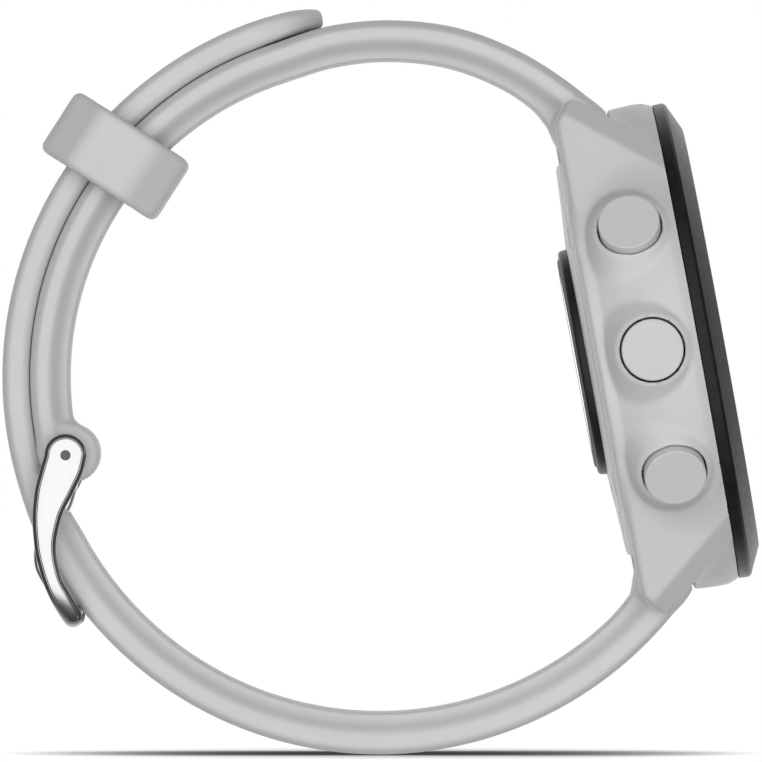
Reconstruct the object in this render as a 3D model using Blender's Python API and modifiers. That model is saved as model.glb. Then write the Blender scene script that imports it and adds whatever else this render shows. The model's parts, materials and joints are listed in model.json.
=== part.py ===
"""GPS running watch with its silicone band buckled in a loop, standing on the band.

Lengths are written as NUMBER * MM. Three frames place everything, each an empty:
the case frame (x to 3 o'clock, y to 12 o'clock, z out of the display), the band frame
(x right, y up, z to the 9 o'clock side, origin at the centre of the band's loop), and the
buckle frame, which is the band frame moved to the buckle's bar.
"""

import math

import bmesh
import bpy
from mathutils import Matrix, Vector

MM = 0.001

# Places of the three frames
CENTRE_Y = 0.61 * MM
BAND_CENTRE = Vector((-0.175 * MM, CENTRE_Y, 32.93 * MM))
CASE_OFFSET = Vector((23.67 * MM, 0.0, 2.31 * MM))
CASE_TILT = math.radians(10.4)

# Case
CASE_SECTIONS = ((-4.67, 16.8), (-3.9, 21.0), (0.17, 21.0), (2.3, 21.38), (3.85, 21.1))
CASE_HEIGHTS = (-4.67, -3.9, -3.2, -2.5, 0.17, 1.05, 2.3, 3.85)
# Each lug plane is (across, along, height, limit): across * |x| + along * |y| + height * z <= limit
LUG_PLANES = (
    (0.921, 0.389, 0.0, 19.69),
    (0.0, 0.773, 0.634, 15.98),
    (0.571, 0.720, 0.393, 21.08),
    (0.0, 0.634, -0.773, 16.82),
    (0.652, 0.275, -0.707, 16.82),
)
LUG_START = 0.6
LUG_INNER = 10.15 * MM
POCKET_WALL = 17.3 * MM
POCKET_TOP = 0.1 * MM
CAVITY_RADIUS = 16.0 * MM
CAVITY_FLOOR = -2.9 * MM
CAVITY_SHOULDER = 2.2 * MM
FRONT_RADIUS = 17.6 * MM
BACK_OPENING = 13.1 * MM
LEDGE_HEIGHT = -3.6 * MM
RECESS_RADIUS = 16.95 * MM
SCREW_CIRCLE = 15.35 * MM

# Lug bars
BAR_ALONG = 20.0 * MM
BAR_HEIGHT = -2.6 * MM
STRAP_HOLE_RADIUS = 1.25 * MM

# Buttons: left side at 9 o'clock and 30 degrees either side, right side at 2 and 4 o'clock
BUTTONS = {"up": 180, "light": 150, "down": 210, "start": 30, "back": -30}
CAP_RADIUS = 2.7 * MM
CAP_FACE = 22.6 * MM
BORE_RADIUS = 2.85 * MM
BORE_FLOOR = 18.6 * MM

# Band, as distances from the band's centre
LOWER_BAR_ANGLE, LOWER_BAR_REACH = 324.2, 30.48
UPPER_BAR_ANGLE, UPPER_BAR_REACH = 50.9, 27.73
LUG_KNUCKLE_RADIUS = 2.4 * MM
STRAP_HALF_WIDTH = 9.8
TAIL_HALF_WIDTH = 9.5
HOLE_PITCH = 12.0
FIRST_HOLE_ANGLE = 109.0
HOLE_COUNT = 12
# Half the length and half the width of a hole, in mm
HOLE_HALF = (2.55, 1.3)
PIN_ANGLE, PIN_REACH = 194.1, 28.11
# Each row is (angle in degrees, inner radius, outer radius, half width), the last three in mm
UPPER_SECTIONS = (
    (49.4, 26.0, 29.95, STRAP_HALF_WIDTH),
    (58.0, 26.6, 30.45, STRAP_HALF_WIDTH),
    (67.0, 27.4, 30.87, STRAP_HALF_WIDTH),
    (79.0, 27.7, 31.14, STRAP_HALF_WIDTH),
    (97.0, 27.4, 30.85, TAIL_HALF_WIDTH),
    (107.0, 27.05, 30.4, TAIL_HALF_WIDTH),
    (190.5, 27.05, 30.4, TAIL_HALF_WIDTH),
)
LOWER_SECTIONS = (
    (98.7, 30.9, 32.55, 6.2),
    (101.0, 30.85, 32.75, 7.9),
    (105.0, 30.75, 32.85, 9.0),
    (111.0, 30.7, 32.85, TAIL_HALF_WIDTH),
    (197.0, 30.7, 32.85, TAIL_HALF_WIDTH),
    (211.0, 29.45, 32.93, TAIL_HALF_WIDTH),
    (235.0, 29.35, 32.93, TAIL_HALF_WIDTH),
    (280.0, 29.35, 32.93, STRAP_HALF_WIDTH),
    (316.0, 29.3, 32.93, STRAP_HALF_WIDTH),
    (325.2, 28.3, 32.85, STRAP_HALF_WIDTH),
)

# Keeper and buckle
KEEPER_ANGLE, KEEPER_REACH, KEEPER_COCK = 140.1, 30.0, 7.2
KEEPER_LENGTH = 5.95 * MM
KEEPER_OUTER = (5.73 * MM, 11.7 * MM)
KEEPER_INNER = (3.7 * MM, 10.0 * MM)
PLATE_INNER = 10.3 * MM
PLATE_THICKNESS = 1.6 * MM
# Each row is (height, middle, half width) of a buckle side plate below its bar
PLATE_STATIONS = (
    (-1.2, -0.45, 1.85),
    (-3.3, -1.0, 1.75),
    (-5.5, -1.63, 1.26),
    (-8.3, -1.75, 0.93),
    (-10.4, -1.33, 0.85),
    (-12.6, -0.4, 0.95),
    (-14.3, 0.6, 0.75),
)
PLATE_HEAD = 1.85 * MM
CROSSBAR_ANGLE, CROSSBAR_REACH, CROSSBAR_RADIUS = 217.5, 33.95, 0.7
# The tongue's path as (angle, distance from the band's centre), from its eye to its tip
TONGUE_PATH = (
    (194.6, 28.7),
    (198.5, 28.6),
    (202.3, 30.0),
    (206.4, 33.05),
    (208.9, 34.1),
    (214.8, 34.45),
)


def polar(angle, reach):
    """A point of the band frame's xy plane, from degrees and millimetres."""
    turn = math.radians(angle)
    return Vector((reach * MM * math.cos(turn), reach * MM * math.sin(turn), 0.0))


def smooth_rows(rows, step):
    """Rows between the given ones, about step apart in their first value, on smooth curves."""
    made = []
    for index in range(len(rows) - 1):
        before = rows[max(index - 1, 0)]
        start, end = rows[index], rows[index + 1]
        after = rows[min(index + 2, len(rows) - 1)]
        count = max(1, round(abs(end[0] - start[0]) / step))
        span = end[0] - start[0]
        for piece in range(count):
            t = piece / count
            row = [start[0] + span * t]
            for column in range(1, len(start)):
                slope_in = (end[column] - before[column]) / (end[0] - before[0]) * span
                slope_out = (after[column] - start[column]) / (after[0] - start[0]) * span
                if start[column] == end[column]:
                    slope_in = slope_out = 0.0
                row.append(
                    (2 * t**3 - 3 * t**2 + 1) * start[column]
                    + (t**3 - 2 * t**2 + t) * slope_in
                    + (3 * t**2 - 2 * t**3) * end[column]
                    + (t**3 - t**2) * slope_out
                )
            made.append(tuple(row))
    return made + [rows[-1]]


# Scene, materials and objects


def clear_scene():
    for item in list(bpy.data.objects):
        bpy.data.objects.remove(item, do_unlink=True)


def new_collection(name):
    collection = bpy.data.collections.new(name)
    bpy.context.scene.collection.children.link(collection)
    return collection


def new_material(name, colour, roughness, metallic=0.0, transmission=0.0):
    material = bpy.data.materials.new(name)
    material.use_nodes = True
    shader = material.node_tree.nodes["Principled BSDF"]
    shader.inputs["Base Color"].default_value = (*colour, 1.0)
    shader.inputs["Roughness"].default_value = roughness
    shader.inputs["Metallic"].default_value = metallic
    shader.inputs["Transmission Weight"].default_value = transmission
    return material


clear_scene()
PARTS = new_collection("gps_running_watch")
TOOLS = new_collection("cutting_tools")
SILICONE = new_material("silicone", (0.62, 0.62, 0.62), 0.55)
CASE_POLYMER = new_material("case_polymer", (0.60, 0.60, 0.61), 0.45)
BLACK_POLYMER = new_material("black_polymer", (0.03, 0.03, 0.035), 0.4)
STEEL = new_material("steel", (0.72, 0.72, 0.72), 0.2, 1.0)
GLASS = new_material("glass", (0.9, 0.9, 0.9), 0.05, 0.0, 1.0)
RUBBER = new_material("rubber", (0.04, 0.04, 0.04), 0.7)
BOARD = new_material("board", (0.02, 0.12, 0.05), 0.5)
CELL = new_material("cell", (0.45, 0.46, 0.48), 0.35, 0.6)
SCREEN = new_material("screen", (0.02, 0.02, 0.02), 0.2)
COPPER = new_material("copper", (0.6, 0.35, 0.15), 0.35, 1.0)


def new_frame(name, matrix, parent=None):
    """An empty that places the objects parented to it."""
    frame = bpy.data.objects.new(name, None)
    PARTS.objects.link(frame)
    frame.parent = parent
    frame.matrix_local = matrix
    return frame


def new_object(name, mesh, frame, material=None):
    """An object of the watch, or a cutting tool where it has no material."""
    item = bpy.data.objects.new(name, mesh)
    item.parent = frame
    if material is None:
        TOOLS.objects.link(item)
        item.hide_render = True
        item.display_type = "WIRE"
    else:
        PARTS.objects.link(item)
        mesh.materials.append(material)
    return item


def case_matrix():
    across = Vector((0.0, 1.0, 0.0))
    twelve = Vector((-math.sin(CASE_TILT), 0.0, math.cos(CASE_TILT)))
    outward = Vector((math.cos(CASE_TILT), 0.0, math.sin(CASE_TILT)))
    turn = Matrix((across, twelve, outward)).transposed().to_4x4()
    return Matrix.Translation(BAND_CENTRE + CASE_OFFSET) @ turn


CASE = new_frame("case_frame", case_matrix())
BAND = new_frame("band_frame", Matrix.Translation(BAND_CENTRE) @ Matrix.Rotation(math.pi / 2, 4, "X"))
BUCKLE = new_frame("buckle_frame_place", Matrix.Translation(polar(PIN_ANGLE, PIN_REACH)), BAND)


def button_frame(name, angle):
    """A frame whose z axis is the button's own axis, outwards from the case's centre."""
    turn = Matrix.Rotation(math.radians(angle), 4, "Z") @ Matrix.Rotation(math.pi / 2, 4, "Y")
    return new_frame(f"{name}_button_place", turn, CASE)


def bar_frame(name, side):
    """A frame at a lug bar, with z along the bar to 3 o'clock and x to the display."""
    place = Matrix.Translation((0.0, side * BAR_ALONG, BAR_HEIGHT))
    axes = Matrix(((0, 0, 1), (0, 1, 0), (-1, 0, 0))).to_4x4()
    return new_frame(f"{name}_bar_place", place @ axes, CASE)


# Shapes


def mesh_of(name, build):
    """A mesh that the function build fills in through a bmesh."""
    mesh = bpy.data.meshes.new(name)
    work = bmesh.new()
    build(work)
    work.to_mesh(mesh)
    work.free()
    return mesh


def shade(item, angle=35):
    item.data.shade_smooth()
    item.data.set_sharp_from_angle(angle=math.radians(angle))
    return item


def box(name, low, high, frame, material=None):
    """A box between two corners, in millimetres."""
    low, high = Vector(low) * MM, Vector(high) * MM
    place = Matrix.Translation((low + high) / 2) @ Matrix.Diagonal((*(high - low), 1.0))
    mesh = mesh_of(name, lambda work: bmesh.ops.create_cube(work, size=1.0, matrix=place))
    return new_object(name, mesh, frame, material)


def cylinder(name, radius, start, end, frame, material=None, segments=16, top_radius=None):
    """A cylinder or cone between two points, in millimetres."""
    start, end = Vector(start) * MM, Vector(end) * MM
    along = end - start
    place = Matrix.Translation((start + end) / 2) @ along.to_track_quat("Z", "Y").to_matrix().to_4x4()

    def build(work):
        bmesh.ops.create_cone(
            work,
            cap_ends=True,
            segments=segments,
            radius1=radius * MM,
            radius2=(radius if top_radius is None else top_radius) * MM,
            depth=along.length,
            matrix=place,
        )

    return shade(new_object(name, mesh_of(name, build), frame, material))


def turned(name, outline, frame, material=None, segments=32, closed=False):
    """A turned piece from (radius, height) points that run clockwise: out, then down the outer side."""

    def build(work):
        points = [work.verts.new((radius * MM, 0.0, height * MM)) for radius, height in outline]
        for first, second in zip(points, points[1:]):
            work.edges.new((first, second))
        if closed:
            work.edges.new((points[-1], points[0]))

    item = new_object(name, mesh_of(name, build), frame, material)
    screw = item.modifiers.new("turn", "SCREW")
    screw.steps = screw.render_steps = segments
    screw.use_merge_vertices = True
    screw.merge_threshold = 1e-6
    screw.use_smooth_shade = False
    return item


def loft(name, rings, frame, material=None, looped=False):
    """A solid through rings of points. A looped one joins its last ring to its first."""

    def build(work):
        made = [[work.verts.new(point) for point in ring] for ring in rings]
        pairs = list(zip(made, made[1:]))
        if looped:
            pairs.append((made[-1], made[0]))
        count = len(made[0])
        for low, high in pairs:
            for index in range(count):
                after = (index + 1) % count
                work.faces.new((low[index], low[after], high[after], high[index]))
        if not looped:
            work.faces.new(list(reversed(made[0])))
            work.faces.new(made[-1])
        bmesh.ops.triangulate(work, faces=work.faces)
        bmesh.ops.recalc_face_normals(work, faces=work.faces)

    return shade(new_object(name, mesh_of(name, build), frame, material))


def arc_block(name, radii, heights, angles, frame, material=None, steps=10):
    """A piece of a ring: rectangular in section, between two angles in degrees."""
    rings = []
    for index in range(steps + 1):
        turn = math.radians(angles[0] + (angles[1] - angles[0]) * index / steps)
        corners = [(radii[side], heights[level]) for side, level in ((0, 0), (1, 0), (1, 1), (0, 1))]
        rings.append([Vector((r * math.cos(turn), r * math.sin(turn), h)) * MM for r, h in corners])
    return loft(name, rings, frame, material)


def boolean(item, tool, operation, solver="EXACT"):
    modifier = item.modifiers.new(f"{operation.lower()}_{tool.name}", "BOOLEAN")
    modifier.operation = operation
    modifier.object = tool
    modifier.solver = solver
    return item


def cut(item, *tools, solver="EXACT"):
    for tool in tools:
        boolean(item, tool, "DIFFERENCE", solver)
    return item


def join(item, *tools, solver="EXACT"):
    for tool in tools:
        boolean(item, tool, "UNION", solver)
    return item


# Case and the pieces that close it


def case_radius(turn, height):
    """The case's outer radius in mm: a round body, and four lugs bounded by planes."""
    sections = CASE_SECTIONS
    body = sections[-1][1]
    for (low, low_radius), (high, high_radius) in zip(sections, sections[1:]):
        if low <= height <= high:
            body = low_radius + (high_radius - low_radius) * (height - low) / (high - low)
            break
    across, along = abs(math.cos(turn)), abs(math.sin(turn))
    if along < LUG_START:
        return body
    lug = min(
        (limit - rise * height) / (x_part * across + y_part * along)
        for x_part, y_part, rise, limit in LUG_PLANES
        if x_part * across + y_part * along > 0.1
    )
    return max(body, lug)


def case_angles():
    """Angles round the case, closer together where the lugs are."""
    quarter = [0.0, 8.5, 17.0, 25.5, 34.0, 40.0, 46.0, 51.0, 55.0, 59.0, 62.5, 66.0, 70.0, 76.0, 83.0]
    full = []
    for angle in quarter:
        full += [angle, 180.0 - angle, 180.0 + angle, 360.0 - angle]
    return sorted(set(round(angle, 3) % 360.0 for angle in full + [90.0, 270.0]))


def lug_bar_holes():
    reach = 11.75
    middle, low = BAR_ALONG / MM, BAR_HEIGHT / MM
    holes = []
    for name, side in (("upper", 1), ("lower", -1)):
        ends = (-reach, side * middle, low), (reach, side * middle, low)
        holes.append(cylinder(f"{name}_bar_holes", 0.7, *ends, CASE))
    return holes


def strap_pockets():
    reach, wall = LUG_INNER / MM, POCKET_WALL / MM
    top = POCKET_TOP / MM
    return [
        box("upper_pocket", (-reach, wall, -7), (reach, 26, top), CASE),
        box("lower_pocket", (-reach, -26, -7), (reach, -wall, top), CASE),
    ]


def screw_places():
    return {
        f"back_screw_{index + 1}": Vector(
            (
                SCREW_CIRCLE / MM * math.cos(math.radians(45 + 90 * index)),
                SCREW_CIRCLE / MM * math.sin(math.radians(45 + 90 * index)),
                0.0,
            )
        )
        for index in range(4)
    }


def upright(place, height):
    return (place.x, place.y, height)


def case_cavity():
    """The room inside the case, with posts left standing for the back screws."""
    cavity = turned(
        "case_cavity",
        (
            (0, 5),
            (FRONT_RADIUS / MM, 5),
            (FRONT_RADIUS / MM, CAVITY_SHOULDER / MM),
            (CAVITY_RADIUS / MM, CAVITY_SHOULDER / MM),
            (CAVITY_RADIUS / MM, CAVITY_FLOOR / MM),
            (BACK_OPENING / MM, CAVITY_FLOOR / MM),
            (BACK_OPENING / MM, LEDGE_HEIGHT / MM),
            (RECESS_RADIUS / MM, LEDGE_HEIGHT / MM),
            (RECESS_RADIUS / MM, -6),
            (0, -6),
        ),
        CASE,
        segments=36,
    )
    for name, place in screw_places().items():
        low, high = upright(place, -3.2), upright(place, -0.6)
        post = cylinder(f"{name}_post", 1.4, low, high, CASE, segments=8)
        cut(cavity, post)
    return cavity


def make_case():
    angles = [math.radians(angle) for angle in case_angles()]
    rings = []
    for height in CASE_HEIGHTS:
        ring = []
        for turn in angles:
            radius = case_radius(turn, height)
            ring.append(Vector((radius * math.cos(turn), radius * math.sin(turn), height)) * MM)
        rings.append(ring)
    case = loft("case_body", rings, CASE, CASE_POLYMER)
    bores = []
    for name, angle in BUTTONS.items():
        place = button_frame(f"{name}_bore", angle)
        outline = ((0, 21.95), (3.4, 21.95), (3.75, 20.6), (3.75, 19), (0, 19))
        boss = turned(f"{name}_boss", outline, place, segments=12)
        join(case, boss, solver="MANIFOLD")
        bores.append(
            turned(
                f"{name}_bore",
                (
                    (0, 24),
                    (BORE_RADIUS / MM, 24),
                    (BORE_RADIUS / MM, BORE_FLOOR / MM),
                    (1.15, BORE_FLOOR / MM),
                    (1.15, 17.75),
                    (1.75, 17.75),
                    (1.75, 16.85),
                    (1.15, 16.85),
                    (1.15, 15),
                    (0, 15),
                ),
                place,
                segments=12,
            )
        )
    threads = [
        cylinder(f"{name}_thread", 0.65, upright(place, -4), upright(place, -1.1), CASE, segments=8)
        for name, place in screw_places().items()
    ]
    cut(case, *strap_pockets(), case_cavity(), *bores, *lug_bar_holes(), *threads, solver="MANIFOLD")


def make_front():
    turned(
        "bezel",
        (
            (18.55, 6.29),
            (21.0, 4.95),
            (21.0, 4.0),
            (17.3, 4.0),
            (17.3, 3.0),
            (16.6, 3.0),
            (16.6, 4.3),
            (17.5, 4.3),
            (17.5, 6.29),
        ),
        CASE,
        BLACK_POLYMER,
        segments=40,
        closed=True,
    )
    turned("lens", ((0, 6.15), (17.2, 6.15), (17.2, 4.95), (0, 4.95)), CASE, GLASS, segments=36)
    ring = ((17.2, 4.8), (17.2, 4.45), (16.5, 4.45), (16.5, 4.8))
    turned("lens_gasket", ring, CASE, RUBBER, segments=28, closed=True)
    outline = ((0, 4.65), (16.2, 4.65), (16.2, 3.2), (0, 3.2))
    turned("display_module", outline, CASE, SCREEN, segments=28)
    frame_outline = ((17.2, 2.85), (17.2, 2.35), (13.6, 2.35), (13.6, -2.4), (12.8, -2.4), (12.8, 2.85))
    turned("inner_frame", frame_outline, CASE, BLACK_POLYMER, segments=28, closed=True)


def make_back():
    cover = turned(
        "back_cover",
        (
            (16.75, -3.75),
            (16.75, -4.67),
            (15.5, -5.1),
            (13.0, -5.45),
            (10.4, -5.6),
            (10.4, -4.6),
            (13.0, -4.6),
            (13.0, -3.75),
            (13.45, -3.75),
            (13.45, -4.15),
            (14.25, -4.15),
            (14.25, -3.75),
        ),
        CASE,
        CASE_POLYMER,
        segments=32,
        closed=True,
    )
    for name, place in screw_places().items():
        low, middle, high = upright(place, -6), upright(place, -4.5), upright(place, -3)
        head_room = cylinder(f"{name}_seat", 1.1, low, middle, CASE, segments=12)
        shaft_room = cylinder(f"{name}_way", 0.65, upright(place, -5), high, CASE, segments=10)
        cut(cover, head_room, shaft_room)
        screw = turned(
            name,
            ((0, -1.4), (0.5, -1.4), (0.5, -4.65), (0.9, -4.65), (0.9, -5.05), (0, -5.05)),
            new_frame(f"{name}_place", Matrix.Translation(place * MM), CASE),
            STEEL,
            segments=10,
        )
        drive = cylinder(f"{name}_drive", 0.45, (0, 0, -5.3), (0, 0, -4.85), screw, segments=6)
        cut(screw, drive)
    cut(cover, box("charge_port_way", (-3.35, -12.85, -7), (3.35, -10.95, -4), CASE))
    gasket = ((14.1, -3.7), (14.1, -4.0), (13.6, -4.0), (13.6, -3.7))
    turned("back_gasket", gasket, CASE, RUBBER, segments=28, closed=True)
    port = box("charge_port", (-3.1, -12.65, -5.5), (3.1, -11.15, -4.75), CASE, BLACK_POLYMER)
    for index in range(4):
        x = -2.25 + 1.5 * index
        low, high = (x, -11.9, -5.62), (x, -11.9, -5.0)
        join(port, cylinder(f"contact_{index + 1}", 0.45, low, high, CASE, segments=8))


def make_sensor():
    turned(
        "sensor_ring",
        (
            (11.2, -4.05),
            (11.2, -4.4),
            (10.1, -4.4),
            (10.1, -5.55),
            (8.95, -6.3),
            (8.4, -6.57),
            (8.15, -6.57),
            (8.15, -5.9),
            (7.4, -5.9),
            (7.4, -4.05),
        ),
        CASE,
        BLACK_POLYMER,
        segments=24,
        closed=True,
    )
    window = ((0, -6.1), (7.9, -6.1), (7.9, -6.55), (0, -6.55))
    turned("sensor_window", window, CASE, GLASS, segments=24)
    disc = ((0, -5.0), (6.9, -5.0), (6.9, -5.55), (0, -5.55))
    board = turned("sensor_board", disc, CASE, BOARD, segments=20)
    for index, x in enumerate((-3.6, 0.0, 3.6)):
        join(board, box(f"emitter_{index + 1}", (x - 0.9, -0.9, -5.75), (x + 0.9, 0.9, -5.3), CASE))


# What the case holds


def make_electronics():
    outline = ((0, 1.75), (12.5, 1.75), (12.5, 1.2), (0, 1.2))
    board = turned("main_board", outline, CASE, BOARD, segments=24)
    chips = ((-6.5, -3.5, 5.5, 5.0, 2.3), (2.5, 3.0, 4.5, 4.5, 2.4), (2.0, -7.0, 6.0, 3.0, 2.2))
    for index, (x, y, width, depth, top) in enumerate(chips):
        join(board, box(f"chip_{index + 1}", (x, y, 1.5), (x + width, y + depth, top), CASE))
    battery = box("battery", (-8.5, -8.5, -2.5), (3.5, 8.5, 0.9), CASE, CELL)
    rounding = battery.modifiers.new("rounding", "BEVEL")
    rounding.width = 0.5 * MM
    rounding.segments = 1
    arc_block("gps_antenna", (14.3, 15.6), (1.0, 1.9), (55, 125), CASE, COPPER)
    motor = cylinder("vibration_motor", 1.6, (6.6, -0.8, -0.8), (6.6, 6.0, -0.8), CASE, STEEL)
    cut(motor, cylinder("motor_bearing", 0.4, (6.6, -2.0, -0.8), (6.6, 0.6, -0.8), CASE, segments=10))
    weight = cylinder("vibration_weight", 1.5, (6.6, -4.2, -0.8), (6.6, -1.8, -0.8), CASE, COPPER)
    cut(weight, box("weight_half", (4.8, -4.5, -0.7), (8.4, -1.5, 1.2), CASE))
    join(weight, cylinder("weight_shaft", 0.3, (6.6, -4.4, -0.8), (6.6, 0.2, -0.8), CASE, segments=10))
    cylinder("buzzer", 2.2, (6.2, -7.4, -2.4), (6.2, -7.4, -0.9), CASE, COPPER)


def make_switches():
    sides = {"left": ((142, 218), ("up", "light", "down")), "right": ((-38, 38), ("start", "back"))}
    for side, (angles, names) in sides.items():
        radii, heights = (13.75, 13.9), (-1.3, 1.3)
        flex = arc_block(f"{side}_switch_flex", radii, heights, angles, CASE, COPPER, steps=14)
        for name in names:
            turn = math.radians(BUTTONS[name])
            near, far = 13.8, 14.04
            start = (near * math.cos(turn), near * math.sin(turn), 0)
            end = (far * math.cos(turn), far * math.sin(turn), 0)
            join(flex, cylinder(f"{name}_dome", 0.9, start, end, CASE, segments=8))


def coil(name, radius, wire, low, high, turns, frame, material):
    """A coil spring as a round wire along a helix about the frame's z axis."""
    per_turn = 8
    count = round(turns * per_turn)
    curve = bpy.data.curves.new(name, "CURVE")
    curve.dimensions = "3D"
    curve.bevel_depth = wire * MM
    curve.bevel_resolution = 0
    curve.use_fill_caps = True
    spline = curve.splines.new("POLY")
    spline.points.add(count)
    for index in range(count + 1):
        turn = 2 * math.pi * index / per_turn
        height = low + (high - low) * index / count
        x, y = radius * math.cos(turn), radius * math.sin(turn)
        spline.points[index].co = (x * MM, y * MM, height * MM, 1.0)
    item = bpy.data.objects.new(name, curve)
    item.parent = frame
    PARTS.objects.link(item)
    curve.materials.append(material)
    return item


def make_button(name, angle):
    place = button_frame(name, angle)
    turned(
        f"{name}_button",
        (
            (0, CAP_FACE / MM),
            (CAP_RADIUS / MM, CAP_FACE / MM),
            (CAP_RADIUS / MM, 20.4),
            (1.0, 20.4),
            (1.0, 15.85),
            (0.75, 15.85),
            (0.75, 15.3),
            (1.0, 15.3),
            (1.0, 14.8),
            (0, 14.8),
        ),
        place,
        CASE_POLYMER,
        segments=12,
    )
    coil(f"{name}_spring", 1.75, 0.15, 18.85, 20.1, 2.5, place, STEEL)
    seal = ((1.6, 17.6), (1.6, 17.0), (1.1, 17.0), (1.1, 17.6))
    turned(f"{name}_seal", seal, place, RUBBER, segments=10, closed=True)
    arc_block(f"{name}_clip", (0.85, 1.7), (15.4, 15.75), (30, 330), place, STEEL, steps=8)


# Lug bars


def make_lug_bar(name, side):
    """A spring bar: a tube with one fixed tip, and a sprung tip that a small knob draws in."""
    place = bar_frame(name, side)
    bar = turned(
        f"{name}_lug_bar",
        (
            (0, 3.0),
            (0.62, 3.0),
            (0.62, 9.7),
            (0.95, 9.7),
            (0.95, -9.9),
            (0.55, -9.9),
            (0.55, -11.4),
            (0, -11.4),
        ),
        place,
        STEEL,
        segments=12,
    )
    cut(bar, box(f"{name}_bar_slot", (0.2, -0.5, 6.0), (1.5, 0.5, 9.2), place))
    rod = ((0, 11.4), (0.5, 11.4), (0.5, 5.0), (0, 5.0))
    release = turned(f"{name}_bar_release", rod, place, STEEL, segments=10)
    join(release, cylinder(f"{name}_bar_knob", 0.42, (0.0, 0, 8.2), (2.3, 0, 8.2), place, segments=10))
    coil(f"{name}_bar_spring", 0.38, 0.1, 3.2, 4.8, 2.5, place, STEEL)


# Band


def strap_rings(sections, step):
    """Sections of a strap: a flat outer face, upright sides, and bevels towards the wrist."""
    rings = []
    for angle, inner, outer, half in smooth_rows(sections, step):
        middle = (inner + outer) / 2
        half_section = ((outer, half - 0.5), (outer - 0.5, half), (middle, half), (inner, half - 0.9))
        ring = [polar(angle, reach) + Vector((0, 0, wide * MM)) for reach, wide in half_section]
        for reach, wide in reversed(half_section):
            ring.append(polar(angle, reach) - Vector((0, 0, wide * MM)))
        rings.append(ring)
    return rings


def knuckle(name, point, radius, half):
    """A round end for a strap, across the band at a point in millimetres."""
    end = Vector((0, 0, half))
    return cylinder(name, radius, point / MM - end, point / MM + end, BAND, segments=18)


def lug_end(strap, name, angle, reach, side):
    """The strap's end round its lug bar, with the bar's hole and the slot for the bar's knob."""
    point = polar(angle, reach)
    join(strap, knuckle(f"{name}_lug_knuckle", point, LUG_KNUCKLE_RADIUS / MM, STRAP_HALF_WIDTH))
    cut(strap, knuckle(f"{name}_bar_way", point, STRAP_HOLE_RADIUS / MM, 12))
    height = BAR_HEIGHT / MM
    low = (5.0, side * BAR_ALONG / MM - 0.85, height - 5.0)
    high = (12.0, side * BAR_ALONG / MM + 0.85, height)
    cut(strap, box(f"{name}_knob_way", low, high, CASE))


def make_upper_strap():
    strap = loft("upper_strap", strap_rings(UPPER_SECTIONS, 8.0), BAND, SILICONE)
    lug_end(strap, "upper", UPPER_BAR_ANGLE, UPPER_BAR_REACH, 1)
    join(strap, knuckle("buckle_knuckle", polar(194.0, 27.8), 2.5, TAIL_HALF_WIDTH - 0.2))
    cut(strap, knuckle("buckle_bar_way", polar(PIN_ANGLE, PIN_REACH), 1.05, 12))
    slot = box("tongue_slot", (-3.6, -4.5, -1.5), (2.3, 3.2, 1.5), BUCKLE)
    cut(strap, slot)


def hole_tool(index):
    """An oval hole through the hole-side strap, longer along the band than across it."""
    angle = math.radians(FIRST_HOLE_ANGLE + HOLE_PITCH * index)
    outline = []
    for along_sign, across_sign in ((1, 1), (-1, 1), (-1, -1), (1, -1)):
        corners = [
            (HOLE_HALF[0] * along_sign, (HOLE_HALF[1] - 0.5) * across_sign),
            ((HOLE_HALF[0] - 0.5) * along_sign, HOLE_HALF[1] * across_sign),
        ]
        outline += corners if along_sign == across_sign else reversed(corners)
    outward = Vector((math.cos(angle), math.sin(angle), 0.0))
    along = Vector((-math.sin(angle), math.cos(angle), 0.0))
    rings = []
    for reach in (28.0, 34.5):
        middle = outward * reach
        rings.append([(middle + along * a + Vector((0, 0, b))) * MM for a, b in outline])
    return loft(f"strap_hole_{index + 1}", rings, BAND)


def make_lower_strap():
    strap = loft("lower_strap", strap_rings(LOWER_SECTIONS, 10.0), BAND, SILICONE)
    lug_end(strap, "lower", LOWER_BAR_ANGLE, LOWER_BAR_REACH, -1)
    cut(strap, *[hole_tool(index) for index in range(HOLE_COUNT)])


def rounded_rectangle(half_x, half_y, corner, steps=3):
    """Points of a rounded rectangle, anticlockwise, in the given unit."""
    points = []
    for quarter, (x, y) in enumerate(((1, 1), (-1, 1), (-1, -1), (1, -1))):
        for step in range(steps + 1):
            turn = math.pi / 2 * (quarter + step / steps)
            middle_x, middle_y = x * (half_x - corner), y * (half_y - corner)
            points.append((middle_x + corner * math.cos(turn), middle_y + corner * math.sin(turn)))
    return points


def make_keeper():
    """The loop over both straps: x is across the wall, y along the band and z across the band."""
    turn = math.radians(KEEPER_ANGLE + KEEPER_COCK)
    middle = Matrix.Translation(polar(KEEPER_ANGLE, KEEPER_REACH))
    place = new_frame("keeper_place", middle @ Matrix.Rotation(turn, 4, "Z"), BAND)
    outer = rounded_rectangle(*KEEPER_OUTER, 3.2 * MM)
    inner = rounded_rectangle(*KEEPER_INNER, 1.0 * MM)
    half, edge = KEEPER_LENGTH / 2, 0.6 * MM
    rings = []
    for (out_x, out_z), (in_x, in_z) in zip(outer, inner):
        slim_x = out_x + (in_x - out_x) * 0.3
        slim_z = out_z + (in_z - out_z) * 0.3
        rings.append(
            [
                Vector((out_x, -half + edge, out_z)),
                Vector((out_x, half - edge, out_z)),
                Vector((slim_x, half, slim_z)),
                Vector((in_x, half, in_z)),
                Vector((in_x, -half, in_z)),
                Vector((slim_x, -half, slim_z)),
            ]
        )
    loft("keeper", rings, place, SILICONE, looped=True)


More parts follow.
